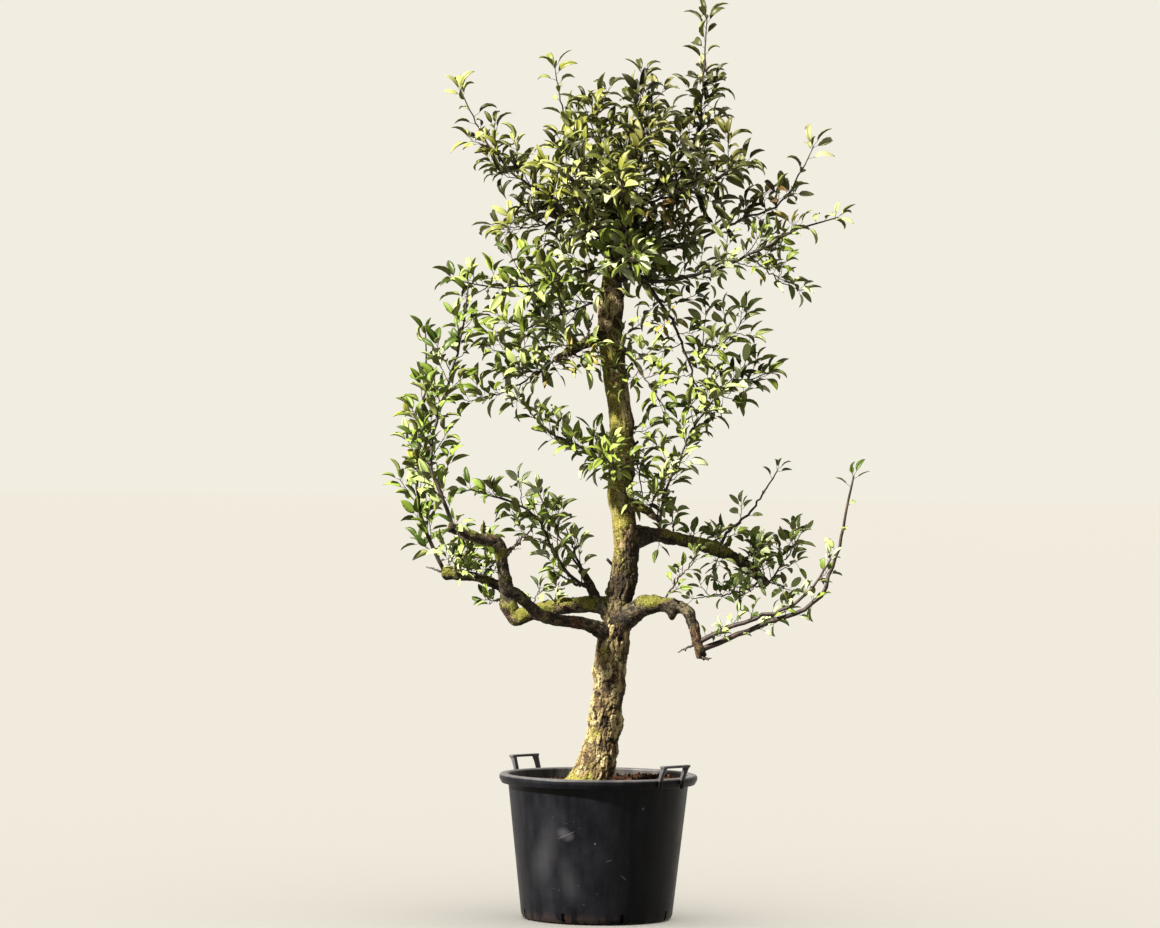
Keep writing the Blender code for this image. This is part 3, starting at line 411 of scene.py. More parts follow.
# Two carrying handles: a bar on two posts that lean out from the rim and taper to a foot below it, with a rib
# down each post. Rows of a post: height over the rim, inner and outer edge along the rim, depth.
handleShape = dict(
    azimuths=dict(handleRightFront=-44, handleLeftRear=136), halfSpan=0.050, rise=0.038, bar=(0.007, 0.0155),
    barOut=0.0075, post=0.014, lean=16, gap=0.0003, overhang=0.002, rib=(0.34, 0.0022), around=20, square=0.3,
    bluntEnd=0.82, barStops=(-1, -0.985, -0.5, 0, 0.5, 0.985, 1),
    postRows=((-0.027, 0.038, 0.047, 0.0045), (-0.0262, 0.0375, 0.0475, 0.005), (-0.012, 0.0370, 0.0485, 0.007),
              (0.0, 0.036, 0.050, 0.009), (0.016, 0.0365, 0.0498, 0.011), (0.030, 0.036, 0.050, 0.0145),
              (0.0362, 0.0358, 0.0502, 0.0150), (0.037, 0.036, 0.050, 0.0150)))


# A bar of rounded-square section along a path: c + u |cos a|^n sgn(cos a) w/2 + v |sin a|^n sgn(sin a) d/2
def squaredBar(centres, across, deep, sizes):
    a = turns(handleShape["around"], 0.5)
    u, v = (np.sign(wave) * np.abs(wave) ** handleShape["square"] for wave in (np.cos(a), np.sin(a)))
    blunt = handleShape["bluntEnd"]
    ends = np.array([blunt, *[1.0] * (len(centres) - 2), blunt])[:, None, None]
    ring = across * (u[None, :, None] * sizes[:, :1, None] / 2) + deep * (v[None, :, None] * sizes[:, 1:, None] / 2)
    points = np.concatenate([(centres[:, None] + ring * ends).reshape(-1, 3), centres[[0, -1]]])
    return points, tubeFaces(len(centres), handleShape["around"])


for name, azimuth in handleShape["azimuths"].items():
    shape = handleShape
    azimuth = np.radians(azimuth)
    top, barThick = potShape["height"] + shape["rise"], shape["bar"][0]
    inner = math.sqrt(potShape["rim"] ** 2 - (shape["halfSpan"] - shape["post"]) ** 2) + shape["gap"]
    out = np.array([math.cos(azimuth), math.sin(azimuth), 0])
    along = np.array([-math.sin(azimuth), math.cos(azimuth), 0])
    lean = math.tan(math.radians(shape["lean"]))
    parts = []
    for side in (-1, 1):
        z, near, far, deep = np.array(shape["postRows"]).T
        face = inner + lean * np.maximum(z, 0)
        centres = (out * (face + deep / 2)[:, None] + along * (side * (near + far) / 2)[:, None]
                   + np.array([0, 0, 1]) * (z + potShape["height"])[:, None])
        sizes = np.stack([far - near, deep], axis=1)
        parts.append(squaredBar(centres, along, out, sizes))
        ribs = sizes * (shape["rib"][0], 0) + (0, shape["rib"][1])
        parts.append(squaredBar(centres + out * (deep / 2)[:, None], along, out, ribs))
    reach = np.array(shape["barStops"]) * (shape["halfSpan"] + shape["overhang"])
    face = inner + lean * (shape["rise"] - barThick / 2)
    centres = out * (face + shape["barOut"]) + along * reach[:, None] + np.array([0, 0, top - barThick / 2])
    bar, barFaces = squaredBar(centres, np.array([0, 0, 1.0]), out, np.repeat([shape["bar"]], len(reach), axis=0))
    bar[:, 2] = np.minimum(bar[:, 2], top)
    parts.append((bar, barFaces))
    handle = addPiece(name, *joined(parts), [potPlastic])
    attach(handle, "root")
    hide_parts("handle_right_front" if name == "handleRightFront" else "handle_left_rear")

# Soil: level round the trunk, heaped on the right, with lumps; the grid runs down the pot's inside to its bottom
soilShape = dict(level=0.366, heap=0.015, ripple=0.003, flat=0.130, shoulder=0.185, rings=110, around=180,
                 lump=0.0035, lumpSize=0.022, spare=0.0006, overFloor=0.0005, crumbs=1100,
                 crumbSize=(0.0022, 0.0060), crumbStretch=((0.7, 0.5, 0.35), (2.2, 1.0, 0.75)), crumbLift=0.0008,
                 crumbMargin=0.008, trunkAt=-0.03, trunkClear=0.062)


# Height = level + shoulder · (heap · x / flat + ripple · sin(31x + 1.3) cos(27y)) + lumps of noise
def soilHeight(x, y):
    away = np.clip((np.hypot(x, y) - soilShape["flat"]) / (soilShape["shoulder"] - soilShape["flat"]), 0, 1)
    heap = soilShape["heap"] * np.clip(x / soilShape["flat"], 0, 1)
    ripple = soilShape["ripple"] * np.sin(31 * x + 1.3) * np.cos(27 * y)
    q = np.stack([x, y, 0 * x], axis=-1) / soilShape["lumpSize"]
    return soilShape["level"] + away * (heap + ripple) + soilShape["lump"] * (0.2 + 0.8 * away) * fractal(q, 77, 4)


# The pot's inner wall is the line from its foot (r, z) to its top; the soil's edge keeps just inside it
shape = soilShape
wall, rounding, spare = potShape["wall"], potShape["baseRound"], shape["spare"]
(footR, footZ), (topR, topZ) = ((potShape["base"] - wall, rounding + wall),
                                (potShape["throat"] - wall, potShape["height"] - potShape["innerLip"]))
slope = (topR - footR) / (topZ - footZ)
brim = footR + slope * (shape["level"] - footZ) - spare
turn = turns(shape["around"])
r = brim * np.linspace(0.004, 1, shape["rings"])[:, None]
x, y = r * np.cos(turn), r * np.sin(turn)
surface = np.stack([x, y, soilHeight(x, y)], axis=-1)
fit = (footR + slope * (surface[-1, :, 2] - footZ) - spare) / brim
surface[-1, :, :2] *= fit[:, None]
under = [np.stack([q * np.cos(turn), q * np.sin(turn), 0 * turn + z], axis=-1)
         for q, z in ((footR - spare, footZ), (potShape["base"] - rounding - wall, wall + shape["overFloor"]))]
rows = np.concatenate([surface, under])
poles = np.array([[0, 0, surface[0, :, 2].mean()], [0, 0, wall + shape["overFloor"]]])
soil = addPiece("soilBed", np.concatenate([rows.reshape(-1, 3), poles]), tubeFaces(len(rows), shape["around"]),
                [pottingSoil])
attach(soil, "root")
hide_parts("soil")

# Crumbs of bark on the soil: twenty-sided bits, each stretched, turned and half sunk
golden = (1 + 5**0.5) / 2
flatCorners = np.array([(-1, golden, 0), (1, golden, 0), (-1, -golden, 0), (1, -golden, 0)])
knob = unit(np.concatenate([np.roll(flatCorners, k, axis=1) for k in range(3)]))
knobFaces = np.array([(0, 11, 5), (0, 5, 1), (0, 1, 7), (0, 7, 10), (0, 10, 11), (1, 5, 9), (5, 11, 4),
                      (11, 10, 2), (10, 7, 6), (7, 1, 8), (3, 9, 4), (3, 4, 2), (3, 2, 6), (3, 6, 8), (3, 8, 9),
                      (4, 9, 5), (2, 4, 11), (6, 2, 10), (8, 6, 7), (9, 8, 1)])
r = (brim - shape["crumbMargin"]) * np.sqrt(rng.random(shape["crumbs"]))
a = rng.random(shape["crumbs"]) * 2 * math.pi
keep = np.hypot(r * np.cos(a) - shape["trunkAt"], r * np.sin(a)) > shape["trunkClear"]
x, y = r[keep] * np.cos(a[keep]), r[keep] * np.sin(a[keep])
count = len(x)
place = np.stack([x, y, soilHeight(x, y) + shape["crumbLift"]], axis=-1)
size = rng.uniform(*shape["crumbSize"], (count, 1, 1))
size = size * rng.uniform(*shape["crumbStretch"], (count, 3))[:, None]
turned = np.linalg.qr(rng.normal(size=(count, 3, 3)) * (1, 1, 0.25))[0]
bits = place[:, None] + np.einsum("nki,nij->nkj", knob[None] * rng.uniform(0.75, 1.2, (count, 12, 1)) * size, turned)
crumbFaces = repeated(knobFaces, count, len(knob)).reshape(count, -1, 3)
mirrored = np.linalg.det(turned) < 0
crumbFaces[mirrored] = crumbFaces[mirrored][..., ::-1]
crumbs = addPiece("soilCrumbs", bits.reshape(-1, 3), [crumbFaces.reshape(-1, 3)], [pottingSoil], smooth=False)
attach(crumbs, "root")
print("pot, handles and soil ready")


# Old apple bark: scaly plates of many browns, pitted, dark in the cracks and pits, partly their own darker bark and
# partly painted shade; in places rusty or nearly black, on the trunk darker on the side away from the lamp, which is
# painted shade; greened by moss where the attribute says so
def barkMaterial(name, cracks, plates, moss):
    made, tree = newMaterial(name, 0.85, 0.12)
    place = addNode(tree, "TexCoord", output="Object")
    depth, mossiness, plate, dark = (addNode(tree, "Attribute", settings={"attribute_name": key}, output="Fac")
                                     for key in ("depth", "moss", "plate", "dark"))
    blotch = addNode(tree, "TexNoise", {"Vector": place, "Scale": 34.0, "Detail": 5.0, "Roughness": 0.7})  # 30 mm
    grain = addNode(tree, "TexNoise", {"Vector": place, "Scale": 210.0, "Detail": 4.0, "Roughness": 0.65})  # 5 mm
    pits = addNode(tree, "TexVoronoi", {"Vector": place, "Scale": 170.0})  # 6 mm
    part = addNode(tree, "Math", {0: blotch, 1: 0.75}, times)
    tone = addNode(tree, "Math", {0: plate, 1: 0.35}, times)
    tone = addNode(tree, "Math", {0: tone, 1: part}, plus)
    steps = [(0.36 + 0.34 * k / (len(plates) - 1), code) for k, code in enumerate(plates)]
    body = addNode(tree, "ValToRGB", {0: tone}, stops=[steps[0], steps[-1], *steps[1:-1]])
    rusty = addNode(tree, "TexNoise", {"Vector": place, "Scale": 17.0, "Detail": 3.0})  # 60 mm
    rusty = addNode(tree, "MapRange", {0: rusty, 1: 0.52, 2: 0.68, 4: 0.45})
    body = addNode(tree, "Mix", {0: rusty, 6: body, 7: hexToLinear("4a2c1a")}, colours, output=2)
    body = addNode(tree, "Mix", {0: dark, 6: body, 7: hexToLinear("17100a")}, colours, output=2)
    worn = addNode(tree, "MapRange", {0: grain, 1: 0.34, 2: 0.52})
    worn = addNode(tree, "Math", {0: worn, 1: depth}, times)
    hollow = addNode(tree, "MapRange", {0: pits, 1: 0.95, 2: 0.50})
    smooth = addNode(tree, "MapRange", {0: blotch, 1: 0.46, 2: 0.60})
    shown = addNode(tree, "Math", {0: hollow, 1: smooth}, larger)
    shown = addNode(tree, "Math", {0: shown, 1: worn}, times)
    shown = addNode(tree, "MapRange", {0: shown, 1: 0.05, 2: 0.55})
    # cracks and pits are coloured near black: partly their own darker bark, partly painted shade
    wood = addNode(tree, "Mix", {0: shown, 6: hexToLinear(cracks), 7: body}, colours, output=2)
    tuft = addNode(tree, "ValToRGB", {0: grain}, stops=[(0.34, moss[0]), (0.66, moss[2]), (0.48, moss[1])])
    spread = addNode(tree, "Math", {0: grain, 1: 1.1}, times)
    spread = addNode(tree, "Math", {0: spread, 1: mossiness}, plus)
    cover = addNode(tree, "MapRange", {0: spread, 1: 0.92, 2: 1.22})
    covered = addNode(tree, "Mix", {0: cover, 6: wood, 7: tuft}, colours, output=2)
    rough = addNode(tree, "Math", {0: pits, 1: 0.5}, times)
    rough = addNode(tree, "Math", {0: grain, 1: rough}, minus)
    bump = addNode(tree, "Bump", {"Strength": 0.9, "Distance": 0.0025, "Height": rough})
    return wire(made, {"Base Color": covered, "Normal": bump})


# Pale heartwood where a limb was sawn off, greyed by weather
def sawnMaterial():
    made, tree = newMaterial("weatheredSawnWood", 0.8, 0.2)
    place = addNode(tree, "TexCoord", output="Object")
    grey = addNode(tree, "TexNoise", {"Vector": place, "Scale": 300.0, "Detail": 3.0})  # 3 mm
    return wire(made, {"Base Color": addNode(tree, "ValToRGB", {0: grey}, stops=[(0.3, "4c3e2c"), (0.7, "74654a")])})


# the first colour of each bark, near black, goes into cracks and pits: partly their own bark, partly painted shade
trunkBark = barkMaterial("scalyTrunkBark", "0c0705", ("2e2217", "55462e", "6f6344", "8a7d5c"),
                         ("302e0f", "555020", "746e36"))
boughBark = barkMaterial("mossyBoughBark", "080604", ("17130e", "28221a", "352e22", "4c4532"),
                         ("20210a", "424114", "5e5b27"))
sawnWood = sawnMaterial()


# A unit vector for each heading and climb in degrees
def direction(heading, climb):
    h, c = np.radians(heading), np.radians(climb)
    return np.stack([np.cos(c) * np.cos(h), np.cos(c) * np.sin(h), np.sin(c)], axis=-1)


# Points a pitch apart along a limb that turns evenly through its headings and climbs: a running sum of steps
def course(start, length, heading, climb, pitch):
    steps = max(2, round(length / pitch))
    t = (np.arange(steps) + 0.5) / steps
    headings = np.interp(t, np.linspace(0, 1, len(heading)), np.degrees(np.unwrap(np.radians(heading))))
    climbs = np.interp(t, np.linspace(0, 1, len(climb)), climb)
    moves = direction(headings, climbs) * length / steps
    return np.concatenate([[start], start + np.cumsum(moves, axis=0)])


# Share of the whole length at which each point of a path lies
def shares(points):
    steps = np.linalg.norm(np.diff(points, axis=0), axis=1)
    return np.concatenate([[0], np.cumsum(steps)]) / steps.sum()


# Reads rows of values at shares of a path by a cubic through its points (Catmull and Rom's)
def smoothRead(values, count):
    s = np.asarray(values, float)
    x = np.linspace(0, len(s) - 1, count)
    k = np.minimum(x.astype(int), len(s) - 2)
    u = (x - k).reshape(-1, *[1] * (s.ndim - 1))
    a, b, c, d = s[np.maximum(k - 1, 0)], s[k], s[k + 1], s[np.minimum(k + 2, len(s) - 1)]
    return 0.5 * (2 * b + (c - a) * u + (2 * a - 5 * b + 4 * c - d) * u**2 + (3 * b - a - 3 * c + d) * u**3)


# Rows of values, whose shares are given by place, read at shares t
def readAt(t, place, rows):
    return np.stack([np.interp(t, place, column) for column in rows.T], axis=-1)


# Tangents of a path and two side directions, carried along it without twisting
def carriedFrames(points):
    tangents = unit(np.gradient(points, axis=0))
    side = np.cross(tangents[0], (0.31, 0.22, 0.92) if abs(tangents[0][2]) < 0.9 else (1, 0, 0))
    sides = []
    for tangent in tangents:
        side = unit(side - tangent * (side @ tangent))
        sides.append(side)
    sides = np.array(sides)
    return tangents, sides, np.cross(tangents, sides)


limbs = {}  # name: path, radius along it

trunkShape = dict(
    ground=0.3663, top=1.510, sway=0.010, swayPitch=1.0, flareHeight=0.030, rows=600, around=150,
    stations=(  # height above the soil, offset to the right, diameter
        (0.000, -0.022, 0.104), (0.055, -0.004, 0.098), (0.135, 0.009, 0.091), (0.255, 0.024, 0.087),
        (0.375, 0.035, 0.089), (0.450, 0.048, 0.081), (0.520, 0.055, 0.074), (0.640, 0.069, 0.070),
        (0.735, 0.059, 0.067), (0.800, 0.049, 0.069), (0.965, 0.052, 0.066), (1.100, 0.034, 0.065),
        (1.235, 0.016, 0.069), (1.310, 0.022, 0.063), (1.395, 0.021, 0.053), (1.455, 0.025, 0.048),
        (1.510, 0.036, 0.036)),
    # roots' toes: azimuth, reach at the soil
    toes=((182, 0.036), (240, 0.020), (305, 0.009), (20, 0.006), (110, 0.016)), toeSharpness=9, sunk=0.003,
    lumps=0.0042, lumpSize=0.045, plates=0.0040, plateSize=(0.012, 0.036), cracks=0.0036, pits=0.0042,
    pitSize=0.020, grain=0.0013, twist=1.6, smoothFrom=0.58, smoothOver=0.15,
    # the dark side term on the next line is painted shade: bark away from the lamp darker, bark facing it paler
    smoothShare=0.45, mossSide=205, mossBySide=0.50, mossByPatch=0.45, patchSize=0.045, paintedShadeBySide=0.42,
    darkByPatch=0.8, darkSize=0.06, darkest=0.9,
    # how dark the bark is at heights up the trunk, and how mossy
    darkness=((0, 0.0), (0.30, 0.0), (0.42, 0.2), (0.46, 0.85), (0.50, 1.2), (0.63, 1.2), (0.70, 0.65), (0.78, 0.15),
              (0.90, 0.0), (1.14, 0.0), (1.19, 0.9), (1.30, 0.8), (1.33, 0.2), (1.36, 0.6), (1.40, 0.1), (1.51, 0.1)),
    mossiness=((0, 0.55), (0.03, 0.3), (0.08, 0.22), (0.30, 0.22), (0.46, 0.2), (0.58, 0.3), (0.68, 0.6), (0.90, 0.65),
               (1.00, 0.7), (1.14, 0.6), (1.21, 0.35), (1.25, 0.2), (1.34, 0.4), (1.40, 0.7), (1.51, 0.7)),
    # swellings and knots: height, azimuth, how far out, how wide
    knots=((1.300, 200, 0.006, 0.030), (1.180, 330, 0.008, 0.016), (0.985, 20, 0.006, 0.020),
           (0.560, 330, 0.007, 0.028), (0.420, 250, 0.006, 0.030), (0.230, 300, 0.008, 0.024),
           (0.160, 10, 0.010, 0.020), (0.300, 200, 0.005, 0.022), (0.700, 240, 0.005, 0.022),
           (0.850, 10, 0.006, 0.022), (0.100, 215, 0.006, 0.020)))

relief = dict(warp=0.35, warpSize=0.03, crackWidth=0.10, pitFrom=0.25, grainSize=0.007, byCrack=0.85, byPit=0.8,
              byGrain=0.2)


# Bark relief at points q: rounded lumps, plates of a stretched cell noise that stand at different heights,
# cracks between them and a fine grain. Gives the height in metres, how far each point is out of the
# cracks, from 0 to 1, and its plate's number.
def barkRelief(q, along, shape, seed):
    across, lengthwise = shape["plateSize"]
    warp = np.stack([fractal(q / relief["warpSize"], seed + k, 2) for k in range(3)], axis=-1) * relief["warp"]
    cells = np.stack([q[..., 0] / across, q[..., 1] / across, along / lengthwise], axis=-1)
    near, second, number = cellNoise(cells + warp, seed)
    crack = np.exp(-np.maximum(second - near, 0) / relief["crackWidth"])
    lump = fractal(q / shape["lumpSize"], seed + 7, 2)
    pit = np.clip(fractal(q / shape["pitSize"], seed + 9, 3) - relief["pitFrom"], 0, 1)
    grain = fractal(q / relief["grainSize"], seed + 13, 2)
    height = (shape["lumps"] * lump + shape["plates"] * (number - 0.5) - shape["cracks"] * crack
              - shape["pits"] * pit + shape["grain"] * grain)
    depth = np.clip(1 - relief["byCrack"] * crack - relief["byPit"] * pit + relief["byGrain"] * grain, 0, 1)
    return height, depth, number


# The bark's values at a tube's corners, with its two poles' after them: 1 for depth and 0 for the rest
def barkTraits(**traits):
    return {key: np.append(values, [key == "depth"] * 2) for key, values in traits.items()}


# Trunk: level rings whose radius is the stations' curve + toes that die away upwards + knots + bark relief
shape = trunkShape
levels = np.linspace(0, shape["top"], shape["rows"])
stationCurve = smoothRead(shape["stations"], 240)
offsets = np.interp(levels, stationCurve[:, 0], stationCurve[:, 1])
radii = np.interp(levels, stationCurve[:, 0], stationCurve[:, 2]) / 2
centres = np.stack([offsets, shape["sway"] * np.sin(levels * 2 * math.pi / shape["swayPitch"]),
                    shape["ground"] + levels], axis=1)
few = np.linspace(0, shape["rows"] - 1, 51).round().astype(int)
limbs["trunk"] = (centres[few], radii[few])
turn = turns(shape["around"])
toes = sum(size * np.maximum(np.cos(turn - math.radians(at)), 0) ** shape["toeSharpness"]
           for at, size in shape["toes"])
reach = radii[:, None] + toes[None] * np.exp(-levels / shape["flareHeight"])[:, None]
out = np.stack([np.cos(turn), np.sin(turn), np.zeros_like(turn)], axis=1)
for height, azimuth, size, wide in shape["knots"]:
    off = np.abs((turn - math.radians(azimuth) + math.pi) % (2 * math.pi) - math.pi)[None] * radii[:, None]
    reach += size * np.exp(-((levels[:, None] - height) ** 2 + off**2) / wide**2)
spun = turn[None] + shape["twist"] * levels[:, None]
q = np.stack([np.cos(spun) * reach, np.sin(spun) * reach, np.broadcast_to(levels[:, None], reach.shape)], axis=-1)
height, depth, plate = barkRelief(q, q[..., 2], shape, 1)
calm = np.clip((levels - shape["smoothFrom"]) / shape["smoothOver"], 0, 1)[:, None] * (1 - shape["smoothShare"])
points = centres[:, None] + out[None] * (reach + height * (1 - calm))[..., None]
points[0, :, 2] = shape["ground"] - shape["sunk"]
leftFacing = np.cos(turn - math.radians(shape["mossSide"]))[None]
patches = shape["mossByPatch"] * fractal(q / shape["patchSize"] + 40, 5, 3)
band = np.interp(levels, *np.array(shape["mossiness"]).T)[:, None]
moss = np.clip(band + shape["mossBySide"] * leftFacing * (band + 0.25) + patches - 0.25 + 0.1 * (1 - depth), 0, 1)
patches = shape["darkByPatch"] * fractal(q / shape["darkSize"] + 9, 6, 3)
dark = np.interp(levels, *np.array(shape["darkness"]).T)[:, None]
# bark facing away from the lamp is painted darker and bark facing it paler: painted shade
dark = np.clip(dark + patches - shape["paintedShadeBySide"] * leftFacing - 0.10, 0, shape["darkest"])
ends = np.array([[*centres[0][:2], points[0, 0, 2]], centres[-1] + (0, 0, 0.002)])
traits = barkTraits(depth=np.maximum(depth, calm * 0.9), moss=moss, plate=plate, dark=dark)
trunk = addPiece("trunkBark", np.concatenate([points.reshape(-1, 3), ends]),
                 tubeFaces(shape["rows"], shape["around"]), [trunkBark], attributes=traits)
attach(trunk, "root")
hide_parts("trunk")
print("trunk:", len(trunk.data.polygons), "faces")

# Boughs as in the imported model: on what, how far along it, length, foot and tip radius, headings, climbs
boughs = {
    "bough_left_front_run": ("trunk", 0.27, 0.405, (0.017, 0.015), (215, 215, 220, 215, 205), (22, 12, 4, 42, 22)),
    "bough_left_front_rise": ("bough_left_front_run", 0.965, 0.125, (0.0165, 0.015), (180,), (82, 80, 75)),
    "bough_left_front_arm": ("bough_left_front_rise", 0.96, 0.15, (0.0145, 0.013), (195, 200, 195), (15, 20, 16)),
    "bough_left_rear_run": ("trunk", 0.322, 0.358, (0.019, 0.0215), (145, 145, 145, 155), (5, -4, -10, -20)),
    "bough_left_rear_curl": ("bough_left_rear_run", 0.97, 0.095, (0.0215, 0.0165), (165, 150, 175), (50, 70, 78)),
    "bough_left_rear_arm": ("bough_left_rear_curl", 0.93, 0.195, (0.012, 0.0125), (155, 155, 155, 165),
        (20, 20, 0, 30)),
    "bough_left_stub": ("bough_left_rear_run", 0.2, 0.11, (0.0115, 0.01), (180,), (72, 55)),
    "bough_right_front_run": ("trunk", 0.3, 0.24, (0.024, 0.0165), (325, 325, 330, 330), (20, 20, 0, -28)),
    "bough_right_front_drop": ("bough_right_front_run", 0.95, 0.135, (0.014, 0.011), (335, 330, 345),
        (-55, -75, -70)),
    "bough_right_rear": ("trunk", 0.448, 0.48, (0.0185, 0.0145), (35, 30, 25, 25, 20), (10, -8, -14, -25, -50)),
    "bough_right_small": ("trunk", 0.521, 0.15, (0.0105, 0.0085), (310, 330, 325), (-20, -25, -35)),
    "bough_middle_left": ("trunk", 0.815, 0.205, (0.015, 0.0085), (215, 220, 215), (-16, -25, -25)),
    "bough_crown_right": ("trunk", 0.975, 0.22, (0.0125, 0.0075), (0,), (58, 55, 55)),
    "bough_crown_left": ("trunk", 0.96, 0.175, (0.0105, 0.007), (210, 205, 190), (50, 35, 15)),
    "bough_crown_rear": ("trunk", 0.95, 0.23, (0.0105, 0.007), (105, 115, 125), (45, 45, 55)),
    "bough_crown_front": ("trunk", 0.94, 0.235, (0.0105, 0.007), (280, 290, 290), (40, 50, 58)),
    "bough_crown_side": ("trunk", 0.935, 0.245, (0.0105, 0.007), (20, 15, 10), (26, 15, 8)),
    "bough_crown_low": ("trunk", 0.915, 0.14, (0.0105, 0.0085), (315, 320), (8, -20)),
}
boughs = {name: dict(zip(("on", "at", "length", "radii", "heading", "climb"), row)) for name, row in boughs.items()}
boughShape = dict(pitch=0.050, footSwell=0.35, footLength=0.030, collar=0.32, collarLength=0.022, rowPitch=0.0032,
                  around=44, lumps=0.0022, lumpSize=0.026, plates=0.0014, plateSize=(0.008, 0.014), cracks=0.0012,
                  pits=0.0024, pitSize=0.014, grain=0.0008, mossThick=0.0045, mossUp=0.35, mossLeft=0.15,
                  mossByPatch=0.5, patchSize=0.03, tuftSize=0.012, darkByPatch=0.6, darkSize=0.05, darkest=0.9,
                  tipRound=0.004, overlap=0.04)

# Each row of boughs is one continuous limb: its boughs, its moss, and its knots as share of its length,
# side (0 right, 90 up), how far out and how wide
boughRuns = dict(
    leftFrontLimb=dict(parts=("bough_left_front_run", "bough_left_front_rise", "bough_left_front_arm"),
                       moss=(0.0, 0.0, 0.10, 0.05, 0.45, 0.45, 0.05, 0.20),
                       knots=((0.58, 150, 0.007, 0.016), (0.63, 20, 0.006, 0.014), (0.78, 30, 0.005, 0.014),
                              (0.36, 250, 0.003, 0.02))),
    leftRearLimb=dict(parts=("bough_left_rear_run", "bough_left_rear_curl", "bough_left_rear_arm"),
                      moss=(0.50, 0.65, 0.70, 0.60, 0.65, 0.25, 0.25, 0.85),
                      knots=((0.30, 100, 0.006, 0.018), (0.42, 280, 0.008, 0.018), (0.50, 200, 0.010, 0.016),
                             (0.55, 330, 0.008, 0.014), (0.47, 60, 0.008, 0.014), (0.60, 180, 0.006, 0.012),
                             (0.97, 260, 0.012, 0.018), (0.94, 100, 0.007, 0.014))),
    leftStub=dict(parts=("bough_left_stub",), moss=(0.3, 0.5, 0.2), knots=((0.45, 20, 0.004, 0.010),)),
    rightFrontLimb=dict(parts=("bough_right_front_run", "bough_right_front_drop"),
                        moss=(0.0, 0.0, 0.35, 0.05, 0.05, 0.15, 0.0),
                        knots=((0.26, 95, 0.014, 0.022), (0.36, 85, 0.008, 0.016), (0.50, 262, 0.022, 0.013),
                               (0.66, 60, 0.006, 0.014), (0.97, 200, 0.010, 0.014), (0.93, 20, 0.008, 0.012))),
    rightRearLimb=dict(parts=("bough_right_rear",), moss=(0.05, 0.15, 0.45, 0.75, 0.80, 0.55, 0.1, 0.05),
                       knots=((0.10, 270, 0.010, 0.030), (0.30, 260, 0.005, 0.016), (0.60, 80, 0.008, 0.016),
                              (0.86, 120, 0.006, 0.016), (0.98, 250, 0.007, 0.014))),
    rightSmallLimb=dict(parts=("bough_right_small",), moss=(0.5, 0.6, 0.5), knots=((0.7, 100, 0.004, 0.010),)),
    middleLeftLimb=dict(parts=("bough_middle_left",), moss=(0.5, 0.3, 0.2), knots=()))
for place in ("Right", "Left", "Rear", "Front", "Side", "Low"):
    boughRuns["crown" + place + "Limb"] = dict(parts=("bough_crown_" + place.lower(),), moss=(0.3, 0.2, 0.1), knots=())


# Where a limb is at a share of its length, and its radius there
def readLimb(name, at):
    path, radius = limbs[name]
    place = shares(path)
    return readAt(at, place, path), np.interp(at, place, radius)


for name, rule in boughs.items():
    start, hidden = readLimb(rule["on"], rule["at"])
    path = course(start, rule["length"], rule["heading"], rule["climb"], boughShape["pitch"])
    t = np.linspace(0, 1, len(path))
    outOfBark = np.maximum(t * rule["length"] - hidden, 0)
    swell = 1 + boughShape["footSwell"] * np.exp(-outOfBark / boughShape["footLength"])
    foot, tip = rule["radii"]
    limbs[name] = (path, (foot + (tip - foot) * t) * swell)


